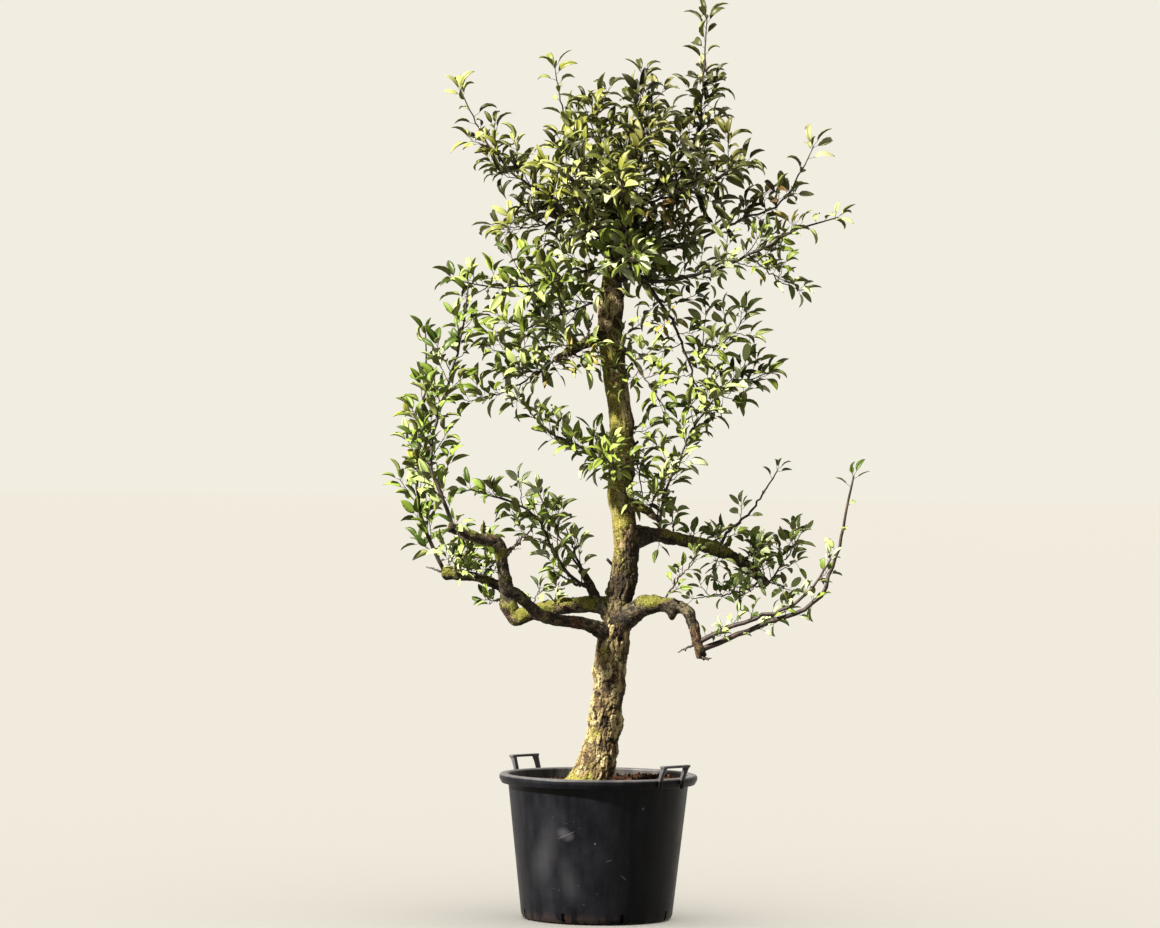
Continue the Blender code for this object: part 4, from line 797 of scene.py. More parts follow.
# A bough run is a tube along its boughs' joined paths: radius = limb's + collar at the foot + knots + relief
def growRun(name, run, seed):
    shape = boughShape
    path, radius = limbs[run["parts"][0]]
    for before, part in zip(run["parts"], run["parts"][1:]):
        kept = shares(limbs[before][0]) < boughs[part]["at"] - shape["overlap"]
        more, wide = limbs[part]
        keep = len(path) - len(kept) + np.count_nonzero(kept)
        path = np.concatenate([path[:keep], more])
        radius = np.concatenate([radius[:keep], wide[1:2], wide[1:]])
    length = np.linalg.norm(np.diff(path, axis=0), axis=1).sum()
    rows = max(12, int(length / shape["rowPitch"]))
    fine = smoothRead(path, 600)
    t = np.linspace(0, 1, rows)
    centres = readAt(t, shares(fine), fine)
    radii = np.interp(t, shares(path), radius)
    tangents, sides, ups = carriedFrames(centres)
    turn = turns(shape["around"])
    out = sides[:, None] * np.cos(turn)[None, :, None] + ups[:, None] * np.sin(turn)[None, :, None]
    root = boughs[run["parts"][0]]
    hidden = readLimb(root["on"], root["at"])[1]
    collar = shape["collar"] * np.exp(-np.maximum(t * length - hidden, 0) / shape["collarLength"])
    reach = radii[:, None] * (1 + collar[:, None] * (0.6 - 0.4 * out[..., 2]))
    for share, side, size, wide in run["knots"]:
        k = min(int(share * rows), rows - 1)
        level = unit(np.array([-tangents[k][1], tangents[k][0], 1e-6]))
        lift = np.cross(tangents[k], level)
        lift *= np.sign(lift[2]) or 1
        aim = -level * math.cos(math.radians(side)) + lift * math.sin(math.radians(side))
        spot = centres[k] + aim * radii[k]
        base = centres[:, None] + out * reach[..., None]
        reach += size * np.exp(-((base - spot) ** 2).sum(-1) / wide**2)
    base = centres[:, None] + out * reach[..., None]
    along = np.broadcast_to((t * length)[:, None], reach.shape)
    q = np.stack([np.cos(turn)[None] * reach, np.sin(turn)[None] * reach, along], axis=-1) + seed * 3.7
    height, depth, plate = barkRelief(q, along, shape, seed)
    bias = np.interp(t, np.linspace(0, 1, len(run["moss"])), run["moss"])[:, None]
    patches = shape["mossByPatch"] * fractal(base / shape["patchSize"], seed, 3)
    moss = np.clip(bias + shape["mossUp"] * out[..., 2] - shape["mossLeft"] * out[..., 0] + patches - 0.15, 0, 1)
    height += shape["mossThick"] * moss**2 * (1 + fractal(q / shape["tuftSize"], seed + 17, 2))
    toTip = np.clip(1 - (1 - t) * length / shape["tipRound"], 0, 1)
    rounding = np.sqrt(np.clip(1 - toTip**2, 0.25, 1))[:, None]
    points = centres[:, None] + out * ((reach + height) * rounding)[..., None]
    ends = np.array([centres[0], centres[-1] + tangents[-1] * 0.001])
    groups = tubeFaces(rows, shape["around"])
    slots = np.repeat([0, 0, 1], [len(groups[0]), shape["around"], shape["around"]])
    dark = np.clip(shape["darkByPatch"] * fractal(base / shape["darkSize"] + 3, seed, 3), 0, shape["darkest"])
    traits = barkTraits(depth=depth, moss=moss, plate=plate, dark=dark)
    piece = addPiece(name, np.concatenate([points.reshape(-1, 3), ends]), groups, [boughBark, sawnWood], slots,
                     attributes=traits)
    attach(piece, "root")
    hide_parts(*run["parts"])


for seed, (name, run) in enumerate(boughRuns.items()):
    growRun(name, run, 20 + seed)
print("boughs:", len(boughRuns), "runs")


# Leaves of the apple: waxy, darker above and pale and downy below. The colour is plain and dealt out by spray.
def leafMaterial(name, colour, roughness):
    made, tree = newMaterial(name, roughness, 0.14, colour)
    place = addNode(tree, "TexCoord", output="Object")
    pucker = addNode(tree, "TexNoise", {"Vector": place, "Scale": 320.0, "Detail": 2.0})  # 3 mm
    return wire(made, {"Normal": addNode(tree, "Bump", {"Strength": 0.15, "Distance": 0.0005, "Height": pucker})})


# Bark of young shoots: smooth and dark red-brown, greyed in places with age
def twigMaterial():
    made, tree = newMaterial("smoothTwigBark", 0.6, 0.2)
    place = addNode(tree, "TexCoord", output="Object")
    patch = addNode(tree, "TexNoise", {"Vector": place, "Scale": 60.0, "Detail": 3.0})  # 17 mm
    tone = addNode(tree, "ValToRGB", {0: patch}, stops=[(0.3, "100b08"), (0.75, "453829"), (0.55, "261c14")])
    return wire(made, {"Base Color": tone})


twigBark = twigMaterial()
leafColours = dict(  # upper sides by zone, then the undersides that all share
    crown=("3a3d10", "54561f", "6c6e3e", "1f2108", "7e8060", "4e3e1d"),
    shade=("2a2b0b", "3d3c14", "525127", "171805", "6b6b4a", "3c2d15"),
    middle=("465118", "5c6728", "727a48", "2a340c", "7f8564", "6c6026"),
    low=("475519", "5c6b2b", "727d4a", "2c3a0d", "7e8664", "6a6a28"),
    under=("4e5227", "626739", "42451d"))
leafShare = dict(crown=(0.25, 0.24, 0.20, 0.16, 0.13, 0.02), shade=(0.26, 0.24, 0.17, 0.18, 0.10, 0.05),
                 middle=(0.22, 0.24, 0.23, 0.15, 0.15, 0.01), low=(0.22, 0.24, 0.22, 0.15, 0.155, 0.015))

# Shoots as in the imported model: on what, how far along it, length, headings, climbs, how far their side twigs
# reach, leaf scale, and their forks, which have where along, length, headings, climbs
shoots = {
    "leader": ("bough_crown_right", 1.0, 0.445, (0,), (50, 45, 80, 90, 86, 88), 0.07, 1.15),
    "centre_shoot": ("bough_crown_front", 1.0, 0.25, (330, 30, 55), (85, 85, 80), 0.11, 1.3),
    "centre_left_shoot": ("bough_crown_rear", 1.0, 0.345, (190, 205, 190), (68, 72, 80), 0.08, 1.25),
    "crown_top": ("bough_crown_right", 0.7, 0.33, (110, 95, 90), (60, 80, 78), 0.11, 1.3),
    "crown_top_left": ("bough_crown_front", 0.8, 0.27, (170, 170, 190), (50, 75, 80), 0.11, 1.3),
    "left_shoot": ("bough_crown_left", 1.0, 0.42, (205, 190, 180, 180, 180), (55, 25, 45, 60, 65), 0.07, 1.15),
    "left_wide": ("bough_crown_left", 0.82, 0.235, (135, 145, 155), (0, -10, 5), 0.08, 1.2),
    "right_shoot": ("bough_crown_side", 1.0, 0.42, (15, 10, 10, 0, 0), (35, 25, 20, 60, 65), 0.075, 1.15),
    "far_right": ("bough_crown_low", 1.0, 0.52, (345, 345, 350, 355, 0), (0, 15, 25, 30, 12), 0.08, 0.9,
        ((0.52, 0.17, (0,), (-42, -38, -15)),)),
    "droop": ("bough_crown_low", 0.85, 0.385, (5, 5, 0, 0), (-50, -60, -75, -55), 0.08, 1.0,
        ((0.55, 0.215, (345,), (0, 15, 50, 60)), (0.82, 0.2, (5,), (5, 15, 25)))),
    "upper_left": ("trunk", 0.935, 0.44, (225, 200, 185, 180), (-5, -20, -5, 15), 0.09, 1.2),
    "upper_left_rear": ("trunk", 0.875, 0.35, (140, 165, 175), (-5, -25, -5), 0.09, 1.2),
    "crown_front": ("bough_crown_front", 0.6, 0.25, (275, 265, 265), (25, 25, 20), 0.11, 1.3),
    "crown_rear": ("bough_crown_rear", 0.6, 0.29, (80, 75, 75), (30, 35, 35), 0.11, 1.3),
    "crown_front_right": ("bough_crown_right", 0.6, 0.35, (310, 315, 335), (5, 15, 25), 0.1, 1.3),
    "crown_rear_right": ("bough_crown_right", 0.85, 0.29, (45, 40, 30), (5, 10, 20), 0.1, 1.3),
    "crown_front_left": ("bough_crown_left", 0.5, 0.27, (255, 250, 245), (20, 30, 40), 0.1, 1.3),
    "low_front": ("trunk", 0.925, 0.25, (275, 280, 300), (15, 10, 0), 0.09, 1.3),
    "low_rear": ("trunk", 0.928, 0.29, (70, 70, 70), (15, 10, 15), 0.09, 1.3),
    "right_rise": ("bough_right_small", 1.0, 0.37, (305, 340, 0, 0), (85, 65, 65, 50), 0.08),
    "right_hang": ("trunk", 0.665, 0.235, (40, 45, 35), (-45, -75, -80), 0.06),
    "right_middle": ("trunk", 0.83, 0.28, (305, 315, 335), (-40, -50, -50), 0.08),
    "middle_left": ("bough_middle_left", 1.0, 0.235, (190, 180, 180), (-40, -30, -10), 0.08, 1.0,
        ((0.12, 0.15, (170,), (25, 10)),)),
    "front_left": ("trunk", 0.59, 0.325, (230, 200, 200, 190), (5, 15, 30, 55), 0.06),
    "middle_front": ("trunk", 0.553, 0.22, (260, 260), (15, 15), 0.08),
    "middle_rear": ("trunk", 0.566, 0.25, (95, 95), (15, 15), 0.08),
    "outer_whip": ("bough_left_rear_arm", 1.0, 0.65, (170, 190, 275, 300, 305, 240), (60, 70, 80, 80, 80, 85), 0.045,
        0.85),
    "inner_whip": ("bough_left_front_arm", 0.88, 0.67, (170, 160, 40, 30, 35, 40), (70, 65, 75, 70, 75, 85), 0.05,
        0.85),
    "stub_shoot": ("bough_left_stub", 1.0, 0.215, (180,), (55, 60, 65), 0.04, 0.8),
    "inner_shoot": ("bough_left_stub", 0.45, 0.44, (200, 210, 215, 190, 190), (15, 55, 60, 20, 15), 0.06),
    "left_tuft": ("bough_left_rear_arm", 0.85, 0.16, (290, 310), (40, 20), 0.05, 1.2),
    "right_tuft": ("bough_right_rear", 1.0, 0.15, (20, 25, 10), (50, 55, 60), 0.07, 1.2),
    "up_shoot": ("bough_right_rear", 0.63, 0.255, (20, 15, 10, 0), (85, 35, 55, 60), 0.045, 0.85),
    "under_shoot": ("bough_right_rear", 0.95, 0.21, (225, 215, 195), (-35, -5, -10), 0.045, 0.8),
    "low_shoot": ("bough_right_front_drop", 0.68, 0.42, (340, 345, 350), (30, 15, 65), 0.045, 0.85),
    "low_whip": ("bough_right_front_drop", 0.83, 0.67, (10, 0, 350, 0, 0, 0), (20, 25, 18, 68, 80, 78), 0.035, 0.8),
    "small_shoot": ("bough_right_front_run", 0.6, 0.155, (355, 0), (55, 55), 0.04, 0.8),
}
shootKeys = ("on", "at", "length", "heading", "climb", "reach", "leaf", "forks")
shoots = {name: dict(zip(shootKeys, row)) for name, row in shoots.items()}
# Habits where they aren't the usual ones: share of the stem beyond which there are no side twigs, how leafy its
# twigs and its stem are, how far the twigs reach, how stout the stem is and how large its leaves
habits = dict(
    leader=dict(bare=0.62, leafy=1.2), centre_left_shoot=dict(bare=0.50, leafy=1.1), left_shoot=dict(bare=0.66),
    right_shoot=dict(bare=0.66, leafy=0.85), crown_top=dict(bare=0.80, leafy=0.9), crown_front=dict(leafy=0.85),
    crown_front_right=dict(leafy=0.65), crown_rear_right=dict(leafy=0.6), far_right=dict(bare=0.75, stout=1.2),
    centre_shoot=dict(bare=0.85),
    outer_whip=dict(bare=0.72, leafy=1.15, stemLeafy=0.5, reach=1.6, stout=1.2, leaf=1.12),
    inner_whip=dict(bare=0.86, leafy=1.1, stemLeafy=0.5, reach=1.6, stout=1.2, leaf=1.12),
    low_whip=dict(bare=0.60, leafy=0.40, stout=1.7, leaf=0.80), low_shoot=dict(leafy=0.6, stout=1.7, leaf=0.70),
    up_shoot=dict(bare=0.5, leafy=0.35, stout=1.4, leaf=0.85), small_shoot=dict(leafy=0.8, leaf=0.75),
    under_shoot=dict(leaf=0.75), stub_shoot=dict(leafy=0.85, stemLeafy=0.4, reach=1.6, leaf=0.95),
    inner_shoot=dict(stout=1.3, reach=1.7, leafy=0.95, stemLeafy=0.4, leaf=0.95),
    droop=dict(stout=1.2), right_tuft=dict(leafy=1.5, leaf=0.7), left_tuft=dict(leafy=1.2, leaf=0.85),
    deadTwig=dict(leafless=True, leafy=0.8, bare=0.7, stout=1.6))
# Short spurs straight on the limbs: on what, how many, where along, length, how far their twigs reach, zone, habit
spurs = (
    ("trunk", 6, (0.93, 0.99), (0.06, 0.11), 0.040, "shade", ""),
    ("bough_crown_right", 5, (0.2, 1), (0.06, 0.13), 0.06, "shade", ""),
    ("bough_crown_left", 6, (0.2, 1), (0.06, 0.12), 0.05, "crown", ""),
    ("bough_crown_rear", 5, (0.2, 1), (0.06, 0.12), 0.05, "shade", ""),
    ("bough_crown_front", 5, (0.2, 1), (0.06, 0.12), 0.05, "crown", ""),
    ("bough_crown_side", 6, (0.2, 1), (0.06, 0.12), 0.06, "shade", ""),
    ("bough_crown_low", 5, (0.3, 1), (0.05, 0.11), 0.05, "crown", ""),
    ("bough_middle_left", 7, (0.2, 1), (0.05, 0.11), 0.04, "middle", ""),
    ("bough_right_small", 3, (0.4, 1), (0.03, 0.07), 0.02, "middle", ""),
    ("bough_left_front_arm", 1, (0.4, 1), (0.03, 0.05), 0.02, "low", ""),
    ("bough_left_rear_arm", 6, (0.2, 1), (0.03, 0.07), 0.03, "low", ""),
    ("bough_left_rear_curl", 1, (0.2, 0.9), (0.02, 0.05), 0.02, "low", ""),
    ("bough_left_rear_run", 4, (0.35, 0.9), (0.03, 0.06), 0.02, "low", ""),
    ("bough_right_rear", 9, (0.25, 1), (0.03, 0.09), 0.03, "low", ""),
    ("bough_right_rear", 7, (0.85, 1), (0.04, 0.08), 0.04, "low", ""),
    ("trunk", 3, (0.70, 0.86), (0.05, 0.09), 0.03, "middle", "deadTwig"),
    ("bough_left_front_rise", 2, (0.3, 1), (0.06, 0.12), 0.04, "low", "deadTwig"),
    ("bough_left_front_arm", 2, (0.2, 0.9), (0.05, 0.10), 0.03, "low", "deadTwig"),
    ("bough_left_rear_curl", 2, (0.3, 1), (0.06, 0.12), 0.04, "low", "deadTwig"),
    ("bough_left_rear_arm", 2, (0.2, 0.9), (0.05, 0.09), 0.03, "low", "deadTwig"),
    ("bough_left_stub", 2, (0.3, 0.9), (0.08, 0.13), 0.04, "low", "deadTwig"),
    ("bough_right_rear", 2, (0.5, 1), (0.04, 0.08), 0.03, "low", "deadTwig"),
    ("bough_right_front_drop", 2, (0.6, 1), (0.02, 0.05), 0.02, "low", "deadTwig"),
    ("bough_middle_left", 2, (0.3, 1), (0.05, 0.09), 0.03, "middle", "deadTwig"))
zones = dict(
    crown=("centre_left_shoot", "crown_top_left", "left_shoot", "left_wide", "crown_front", "crown_front_left"),
    shade=("leader", "centre_shoot", "crown_top", "right_shoot", "crown_rear", "crown_front_right", "crown_rear_right"),
    middle=("far_right", "droop", "upper_left", "upper_left_rear", "low_front", "low_rear", "right_rise", "right_hang",
            "right_middle", "middle_left", "front_left", "middle_front", "middle_rear"),
    low=("outer_whip", "inner_whip", "stub_shoot", "inner_shoot", "left_tuft", "right_tuft", "up_shoot", "under_shoot",
         "low_shoot", "low_whip", "small_shoot"))
# Twigs: foot and tip radius, spacing of side twigs by zone, angles in degrees, bends
twigShape = dict(stem=(0.0046, 0.0015), fork=(0.0030, 0.0013), side=(0.0018, 0.0010), sides=5,
                 spacing=dict(crown=0.0235, shade=0.0245, middle=0.026, low=0.031), firstSide=0.06, lastSide=0.90,
                 angle=(45, 62), lift=0.22, rise=0.16, points=6, stemPoints=26, pitch=0.060, zigzag=0.004,
                 bend=0.6, jitter=0.0012, margin=0.002, petiole=0.0007, petioleSag=0.08, extend=0.026,
                 reach=(0.30, 1.15))
# Leaves: sizes in metres, width to length and curl by zone in the order of zones, angles in degrees
leafShape = dict(length=(0.038, 0.060), width=(0.41, 0.41, 0.48, 0.54), fold=(0.30, 0.95), widthSpread=(0.8, 1.15),
                 curl=((0.7, 1.9), (0.7, 1.9), (0.25, 1.3), (0.2, 1.1)), petiole=(0.008, 0.020),
                 spacing=dict(crown=0.0118, shade=0.0120, middle=0.0130, low=0.0135),
                 stemSpacing=dict(crown=0.020, shade=0.020, middle=0.021, low=0.021), angle=(45, 78), roll=40,
                 lift=0.24, thick=0.0007, wave=0.05, rows=(0.11, 0.29, 0.50, 0.71, 0.88), margin=0.006,
                 topAngles=(62, 55, 45, 25), endAngles=(45, 15), spray=0.09, light=(-0.35, -0.45, 1.0),
                 lightSpread=0.28, ribSteps=32, rise=0.15, arch=1.3, broadest=0.82, blunt=0.8, taper=0.12,
                 boxSpare=0.02, triangles=80, pieceTriangles=190000)
nearlyUp = (0.13, 0.21, 0.97)  # no twig runs along it


# Round twigs along many paths at once: point + (side cos a + up sin a) · radius, with a pole at each end
def manyTubes(paths, radii, sides):
    count, length = paths.shape[:2]
    tangents = unit(np.gradient(paths, axis=1))
    mean = unit(paths[:, -1] - paths[:, 0])
    guide = np.where(np.abs(mean[:, 2:]) < 0.8, [[0, 0, 1.0]], [[1.0, 0, 0]])[:, None]
    side = unit(np.cross(tangents, guide))
    up = np.cross(tangents, side)
    a = turns(sides)
    ring = side[:, :, None] * np.cos(a)[:, None] + up[:, :, None] * np.sin(a)[:, None]
    points = (paths[:, :, None] + ring * radii[:, :, None, None]).reshape(count, -1, 3)
    ends = np.stack([paths[:, 0], paths[:, -1] + tangents[:, -1] * radii[:, -1:] * 0.6], axis=1)
    groups = [repeated(faces, count, length * sides + 2) for faces in tubeFaces(length, sides)]
    return np.concatenate([points, ends], axis=1).reshape(-1, 3), groups


# Distance of spots from the nearest limb's surface: |spot - nearest point of each axis| - its radius
def limbClearance(spots):
    a, ra = (np.concatenate([limb[k][:-1] for limb in limbs.values()]) for k in (0, 1))
    b, rb = (np.concatenate([limb[k][1:] for limb in limbs.values()]) for k in (0, 1))
    nearest = []
    for part in np.array_split(spots[:, None], max(1, len(spots) // 4000)):
        t = (((part - a) * (b - a)).sum(-1) / ((b - a) ** 2).sum(-1)).clip(0, 1)
        gap = np.linalg.norm(part - a - t[..., None] * (b - a), axis=-1) - (ra + t * (rb - ra))
        nearest.append(gap.min(axis=1))
    return np.concatenate(nearest)


# Turns v by an angle about a unit axis: v cos + (axis × v) sin + axis (axis · v)(1 - cos)
def turnAbout(v, axis, angle):
    c, s = np.cos(angle)[..., None], np.sin(angle)[..., None]
    return v * c + np.cross(axis, v) * s + axis * (axis * v).sum(-1, keepdims=True) * (1 - c)


# Places and tangents at shares t of a smooth path
def along(path, t):
    fine = smoothRead(path, 80)
    place = shares(fine)
    tangents = unit(np.gradient(fine, axis=0))
    return readAt(t, place, fine), unit(readAt(t, place, tangents))


# Directions at an angle from the tangents, each a golden turn further round, lifted towards the light
def outward(tangents, first, angle, lift):
    level = unit(np.cross(tangents, nearlyUp))
    ring = turnAbout(level, tangents, 2 * math.pi * (first + goldenTurn * np.arange(len(tangents))))
    a = np.radians(angle)[:, None]
    return unit(tangents * np.cos(a) + ring * np.sin(a) + [0, 0, lift])


twigPaths, twigRadii = [], []  # sets of (count, points, 3) and (count, points)
leafSites = []  # places, ways, spray numbers, zone and scale of each set of leaves
sprayCount = 0


# Where leaves grow: at spots of a twig, outward from its ways, in sprays that share a colour
def addLeaves(spots, ways, angle, sprays, zone, scale, dice):
    ways = outward(ways, dice.random(), angle, leafShape["lift"])
    leafSites.append((spots, ways, sprays, zone, scale))


# One shoot: its stem and forks, side twigs by the golden turn, and the places of its leaves
def growShoot(name, rule, zone, dice):
    global sprayCount
    start = readLimb(rule["on"], rule["at"])[0]
    habit = habits.get(name, {})
    leafScale = np.clip(rule.get("leaf", 1.0), 0.9, 1.2) * habit.get("leaf", 0.8 if zone == "low" else 1.0)
    stem = course(start, rule["length"], rule["heading"], rule["climb"], twigShape["pitch"])
    stem[-1] += unit(stem[-1] - stem[-2]) * twigShape["extend"]
    lines = [(stem, rule["length"], twigShape["stem"])]
    for at, length, heading, climb in rule.get("forks", ()):
        foot = readAt(at, shares(stem), stem)
        lines.append((course(foot, length, heading, climb, twigShape["pitch"]), length, twigShape["fork"]))
    for path, length, (foot, tip) in lines:
        t = np.linspace(0, 1, twigShape["stemPoints"])
        fine, tangents = along(path, t)
        level = unit(np.cross(tangents, nearlyUp))
        bend = dice.normal(0, 1, (len(t), 2)) * twigShape["zigzag"] * np.sin(math.pi * t)[:, None] * twigShape["bend"]
        fine = fine + level * bend[:, :1] + np.cross(tangents, level) * bend[:, 1:]
        scale = (0.55 + 0.45 * min(length / 0.45, 1.2)) * habit.get("stout", 1)
        twigPaths.append(fine[None])
        twigRadii.append((tip + (foot - tip) * (1 - t) ** 0.9)[None] * scale)
        if not habit.get("leafless"):  # leaves on the stem itself
            leafy = habit.get("stemLeafy", habit.get("leafy", 1))
            count = max(3, int(length / leafShape["stemSpacing"][zone] * leafy))
            s = (np.arange(count) + dice.random(count) * 0.6 + 0.3) / count * 0.97 + 0.02
            s = np.append(s, [0.985, 0.992, 1.0, 1.0])
            spots, ways = along(fine, np.minimum(s, 0.999))
            angle = dice.uniform(*leafShape["angle"], len(s))
            angle[-4:] = leafShape["topAngles"]
            sprays = sprayCount + (s * length / leafShape["spray"]).astype(int)
            addLeaves(spots, ways, angle, sprays, zone, leafScale, dice)
            sprayCount += 12
        # side twigs
        count = max(1, int(length / twigShape["spacing"][zone] * habit.get("leafy", 1)))
        s = (np.arange(count) + 0.8) / count
        s = s[(s < habit.get("bare", twigShape["lastSide"])) & (s > twigShape["firstSide"])]
        if not len(s):
            continue
        feet, ways = along(fine, s)
        angle = dice.uniform(*twigShape["angle"], len(s))
        ways = outward(ways, dice.random(), angle, twigShape["lift"])
        reach = rule["reach"] * (1.1 - 0.45 * s) * dice.uniform(*twigShape["reach"], len(s)) * habit.get("reach", 1)
        u = np.linspace(0, 1, twigShape["points"])
        paths = (feet[:, None] + ways[:, None] * (reach[:, None] * u)[..., None]
                 + np.array([0, 0, 1.0]) * (reach[:, None] * twigShape["rise"] * u**2)[..., None]
                 + dice.normal(0, 1, (len(s), len(u), 3)) * twigShape["jitter"] * (u > 0)[:, None])
        clear = limbClearance(paths[:, 1:].reshape(-1, 3)).reshape(len(s), -1).min(axis=1) > twigShape["margin"]
        paths, reach = paths[clear], reach[clear]
        if not len(paths):
            continue
        twigPaths.append(paths)
        a, b = twigShape["side"]
        twigRadii.append(np.broadcast_to(a + (b - a) * u, (len(paths), len(u))) * (0.7 + 3 * reach[:, None]))
        for k, twig in enumerate([] if habit.get("leafless") else paths):
            sprayCount += 1
            count = max(1, int(reach[k] / leafShape["spacing"][zone]))
            s = np.append((np.arange(count) + 0.9) / (count + 0.6), [0.97, 1.0, 1.0])
            at = np.minimum(s, 0.999) * (len(u) - 1)
            before = at.astype(int)
            move = twig[before + 1] - twig[before]
            angle = dice.uniform(*leafShape["angle"], len(s))
            angle[-2:] = leafShape["endAngles"]
            addLeaves(twig[before] + move * (at - before)[:, None], unit(move), angle, np.full(len(s), sprayCount),
                      zone, leafScale, dice)


# Leaves at many places at once. The midrib goes on from the petiole and arches down: its slope is
# curl · (s^arch - rise). Half the width is sin(π s^broadest)^blunt · (1 - taper · s). Each row has five points
# above, at the edges, halfway and on the rib, and three below.
def leafMeshes(roots, ways, ups, lengths, widths, folds, curls, dice):
    shape, n = leafShape, len(roots)
    across = unit(np.cross(ways, ups))
    ups = np.cross(across, ways)
    steps = shape["ribSteps"]
    slope = -shape["rise"] * curls[:, None] + curls[:, None] * np.linspace(0, 1, steps + 1)[None] ** shape["arch"]
    run, fall = (np.concatenate([np.zeros((n, 1)), np.cumsum(moves[:, 1:], axis=1)], axis=1) / steps
                 for moves in (np.cos(slope), -np.sin(slope)))
    rows = np.array([0, *shape["rows"], 1.0])
    at = (rows * steps).round().astype(int)
    run, fall, slope = run[:, at] * lengths[:, None], fall[:, at] * lengths[:, None], slope[:, at]
    mid = roots[:, None] + ways[:, None] * run[..., None] + ups[:, None] * fall[..., None]
    normal = ups[:, None] * np.cos(slope)[..., None] + ways[:, None] * np.sin(slope)[..., None]
    outline = np.sin(math.pi * rows ** shape["broadest"]) ** shape["blunt"] * (1 - shape["taper"] * rows)
    half = outline[None] * (widths * lengths)[:, None] / 2
    lateral = np.array([-1, -0.5, 0, 0.5, 1.0])
    lift = np.abs(lateral)[None, None] * np.sin(folds)[:, None, None]
    ripple = shape["wave"] * dice.normal(0, 1, (n, len(rows), 5)) * np.abs(lateral)
    side = across[:, None, None] * (lateral[:, None] * np.cos(folds)[:, None, None, None] * half[:, :, None, None])
    upper = mid[:, :, None] + side + normal[:, :, None] * ((lift + ripple) * half[..., None])[..., None]
    upper = upper[:, 1:-1]
    lower = upper[:, :, 1:4] - normal[:, 1:-1, None] * shape["thick"]
    body = np.concatenate([upper, lower], axis=2).reshape(n, -1, 3)
    return np.concatenate([body, mid[:, :1], mid[:, -1:]], axis=1)


# Faces of one leaf: rows of eight points, five above (0-4) and three below (5-7), and two poles.
# Gives quads above and below, then triangles above and below.
def leafFaces():
    rows = len(leafShape["rows"])
    k = (np.arange(rows - 1) * 8)[:, None]
    root, tip, last = np.full(4, rows * 8), np.full(4, rows * 8 + 1), (rows - 1) * 8
    strips, fans = [], []
    for row in (np.array([0, 1, 2, 3, 4]), np.array([0, 5, 6, 7, 4])):
        a, b = row[:-1], row[1:]
        strips.append(np.stack([k + a, k + b, k + 8 + b, k + 8 + a], axis=-1).reshape(-1, 4))
        fans.append(np.concatenate([np.stack([root, b, a], axis=1), np.stack([tip, last + a, last + b], axis=1)]))
    return strips[0], strips[1][:, ::-1], fans[0], fans[1][:, ::-1]


for seed, (zone, names) in enumerate(zones.items()):
    for k, name in enumerate(names):
        growShoot(name, shoots[name], zone, np.random.default_rng(100 * seed + k))
for seed, (bough, count, span, lengths, reach, zone, habit) in enumerate(spurs):
    dice = np.random.default_rng(900 + seed)
    for k in range(count):
        heading, climb = dice.uniform(0, 360), dice.uniform(-25, 70)
        rule = dict(on=bough, at=span[0] + (span[1] - span[0]) * (k + dice.random()) / count,
                    length=dice.uniform(*lengths), heading=(heading, heading + dice.normal(0, 15)),
                    climb=(climb, climb + dice.uniform(-10, 25)), reach=reach)
        growShoot(habit, rule, zone, dice)
places, ways, sprays = (np.concatenate([site[k] for site in leafSites]) for k in range(3))
zoneOf = np.concatenate([[list(zones).index(site[3])] * len(site[0]) for site in leafSites])
scales = np.concatenate([[site[4]] * len(site[0]) for site in leafSites])
n = len(places)
shape = leafShape
lengths = rng.uniform(*shape["length"], n) * scales
stalks = rng.uniform(*shape["petiole"], n)
sunward = unit(np.array(shape["light"]) + rng.normal(0, shape["lightSpread"], (n, 3)))
ups = unit(sunward - ways * (sunward * ways).sum(-1, keepdims=True))
ups = turnAbout(ups, ways, np.radians(rng.normal(0, shape["roll"] / 2, n)))
roots = places + ways * stalks[:, None]
curls = rng.uniform(*np.array(shape["curl"])[zoneOf].T)
tips = roots + ways * (lengths * 0.8)[:, None] - ups * (lengths * 0.3 * curls)[:, None]
middles = (roots + tips) / 2
clear = np.minimum.reduce([limbClearance(spots) for spots in (roots, middles, tips)]) > shape["margin"]
lowest, highest = np.array(cadBox[0]) - shape["boxSpare"], np.array(cadBox[1]) + shape["boxSpare"]
clear &= (tips > lowest).all(axis=1) & (tips < highest).all(axis=1)
print("leaves:", n, "sites,", int(clear.sum()), "clear")
places, ways, sprays, zoneOf, lengths, stalks, ups, roots, curls = (
    values[clear] for values in (places, ways, sprays, zoneOf, lengths, stalks, ups, roots, curls))
n = len(places)
folds = rng.uniform(*shape["fold"], n)
widths = np.array(shape["width"])[zoneOf] * rng.uniform(*shape["widthSpread"], n)
meshes = leafMeshes(roots, ways, ups, lengths, widths, folds, curls, rng)

# Broken stubs on the trunk: height above the soil, heading, climb, length, radius
brokenStubs = ((1.096, 350, 42, 0.036, 0.0056), (0.578, 195, 30, 0.026, 0.0050), (1.205, 190, 55, 0.022, 0.0040),
               (0.905, 15, 25, 0.024, 0.0048))
for height, heading, climb, length, radius in brokenStubs:
    foot, thick = readLimb("trunk", height / trunkShape["top"])
    path = course(foot, thick + length, (heading, heading + 12), (climb, climb + 15), 0.010)
    twigPaths.append(path[None])
    twigRadii.append(np.full((1, len(path)), radius) * np.linspace(1.15, 0.85, len(path)))

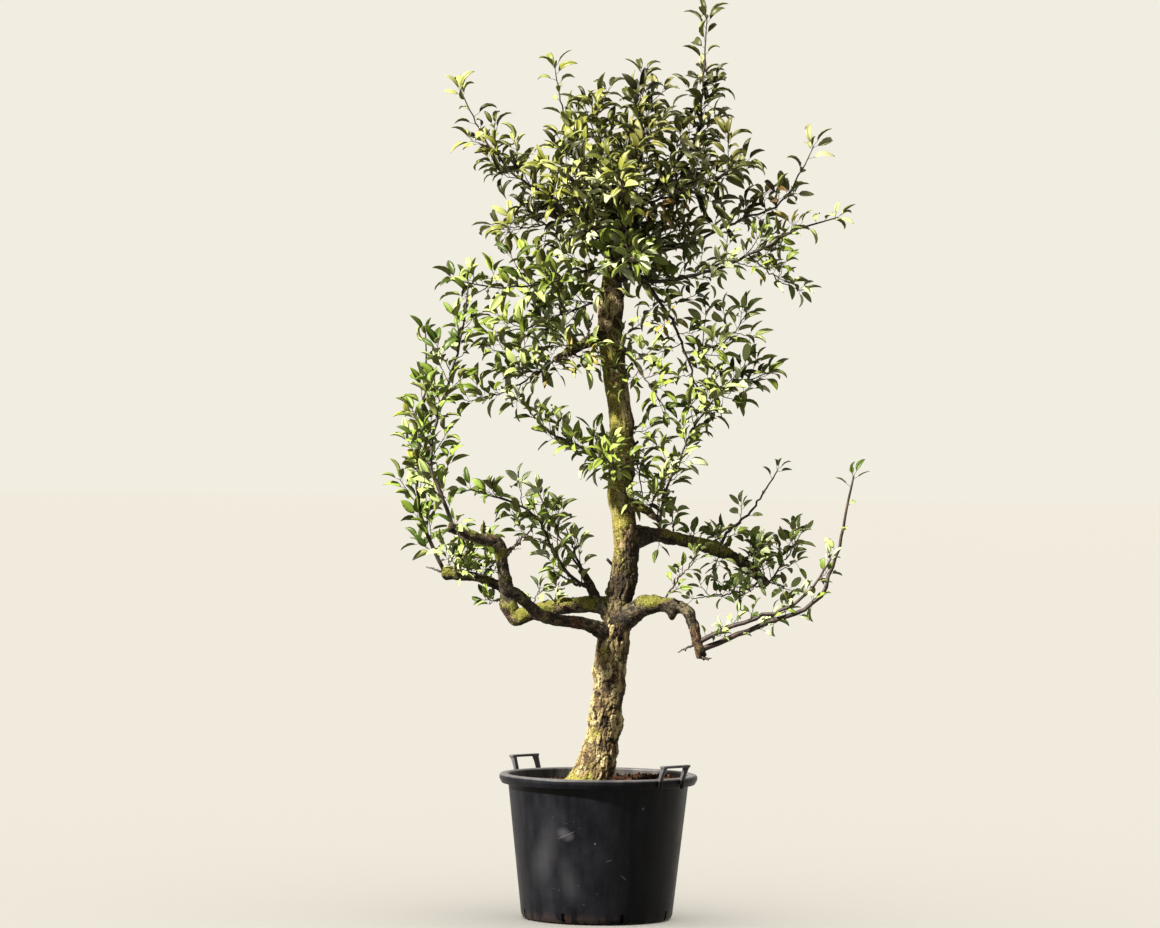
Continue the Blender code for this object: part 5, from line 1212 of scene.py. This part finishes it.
# Petioles, the leaves' stalks, arch from twig to leaf and join the twigs' piece
u = np.array([0.0, 0.5, 1.03])
petioles = (places[:, None] + ways[:, None] * (stalks[:, None] * u)[..., None]
            + ups[:, None] * (stalks[:, None] * twigShape["petioleSag"] * np.sin(math.pi * u))[..., None])

under = [leafMaterial("downyLeafUnderside" + str(k), code, 0.62) for k, code in enumerate(leafColours["under"])]
faces = leafFaces()
underDice, tintDice = np.random.default_rng(6), np.random.default_rng(5)
sprayUnder, sprayDraw = underDice.integers(0, len(under), sprayCount + 20), tintDice.random(sprayCount + 20)
for z, (zone, names) in enumerate(zones.items()):
    pick = np.flatnonzero(zoneOf == z)
    upper = [leafMaterial(zone + "WaxyLeaf" + str(k), code, 0.42) for k, code in enumerate(leafColours[zone])]
    share = np.cumsum(leafShare[zone])
    sprayTint = np.searchsorted(share / share[-1], sprayDraw)
    parts = max(1, math.ceil(len(pick) * shape["triangles"] / shape["pieceTriangles"]))
    for part, chosen in enumerate(np.array_split(pick, parts)):
        groups = [repeated(some, len(chosen), meshes.shape[1]) for some in faces]
        tint = np.minimum(sprayTint[sprays[chosen]], len(upper) - 1)
        down = len(upper) + sprayUnder[sprays[chosen]]
        slots = np.concatenate([np.repeat(tone, len(some)) for tone, some in zip((tint, down, tint, down), faces)])
        piece = addPiece(zone + "Leaves" + "ABCD"[part], meshes[chosen].reshape(-1, 3), groups, upper + under, slots)
        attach(piece, "root")
        if part == 0:
            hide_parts(*names)
        print(piece.name, len(chosen), "leaves")

twigSets = [manyTubes(paths, radii, twigShape["sides"]) for paths, radii in zip(twigPaths, twigRadii)]
twigSets.append(manyTubes(petioles, np.full(petioles.shape[:2], twigShape["petiole"]), 3))
twigs = addPiece("twigs", *joined(twigSets), [twigBark])
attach(twigs, "root")
print("twigs:", len(twigs.data.polygons), "faces")

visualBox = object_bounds()
sizes = dict(cad=[list(map(float, corner)) for corner in cadBox], visual=[list(map(float, corner)) for corner in visualBox])
print("box of the packed model and of the dressed one:", sizes)
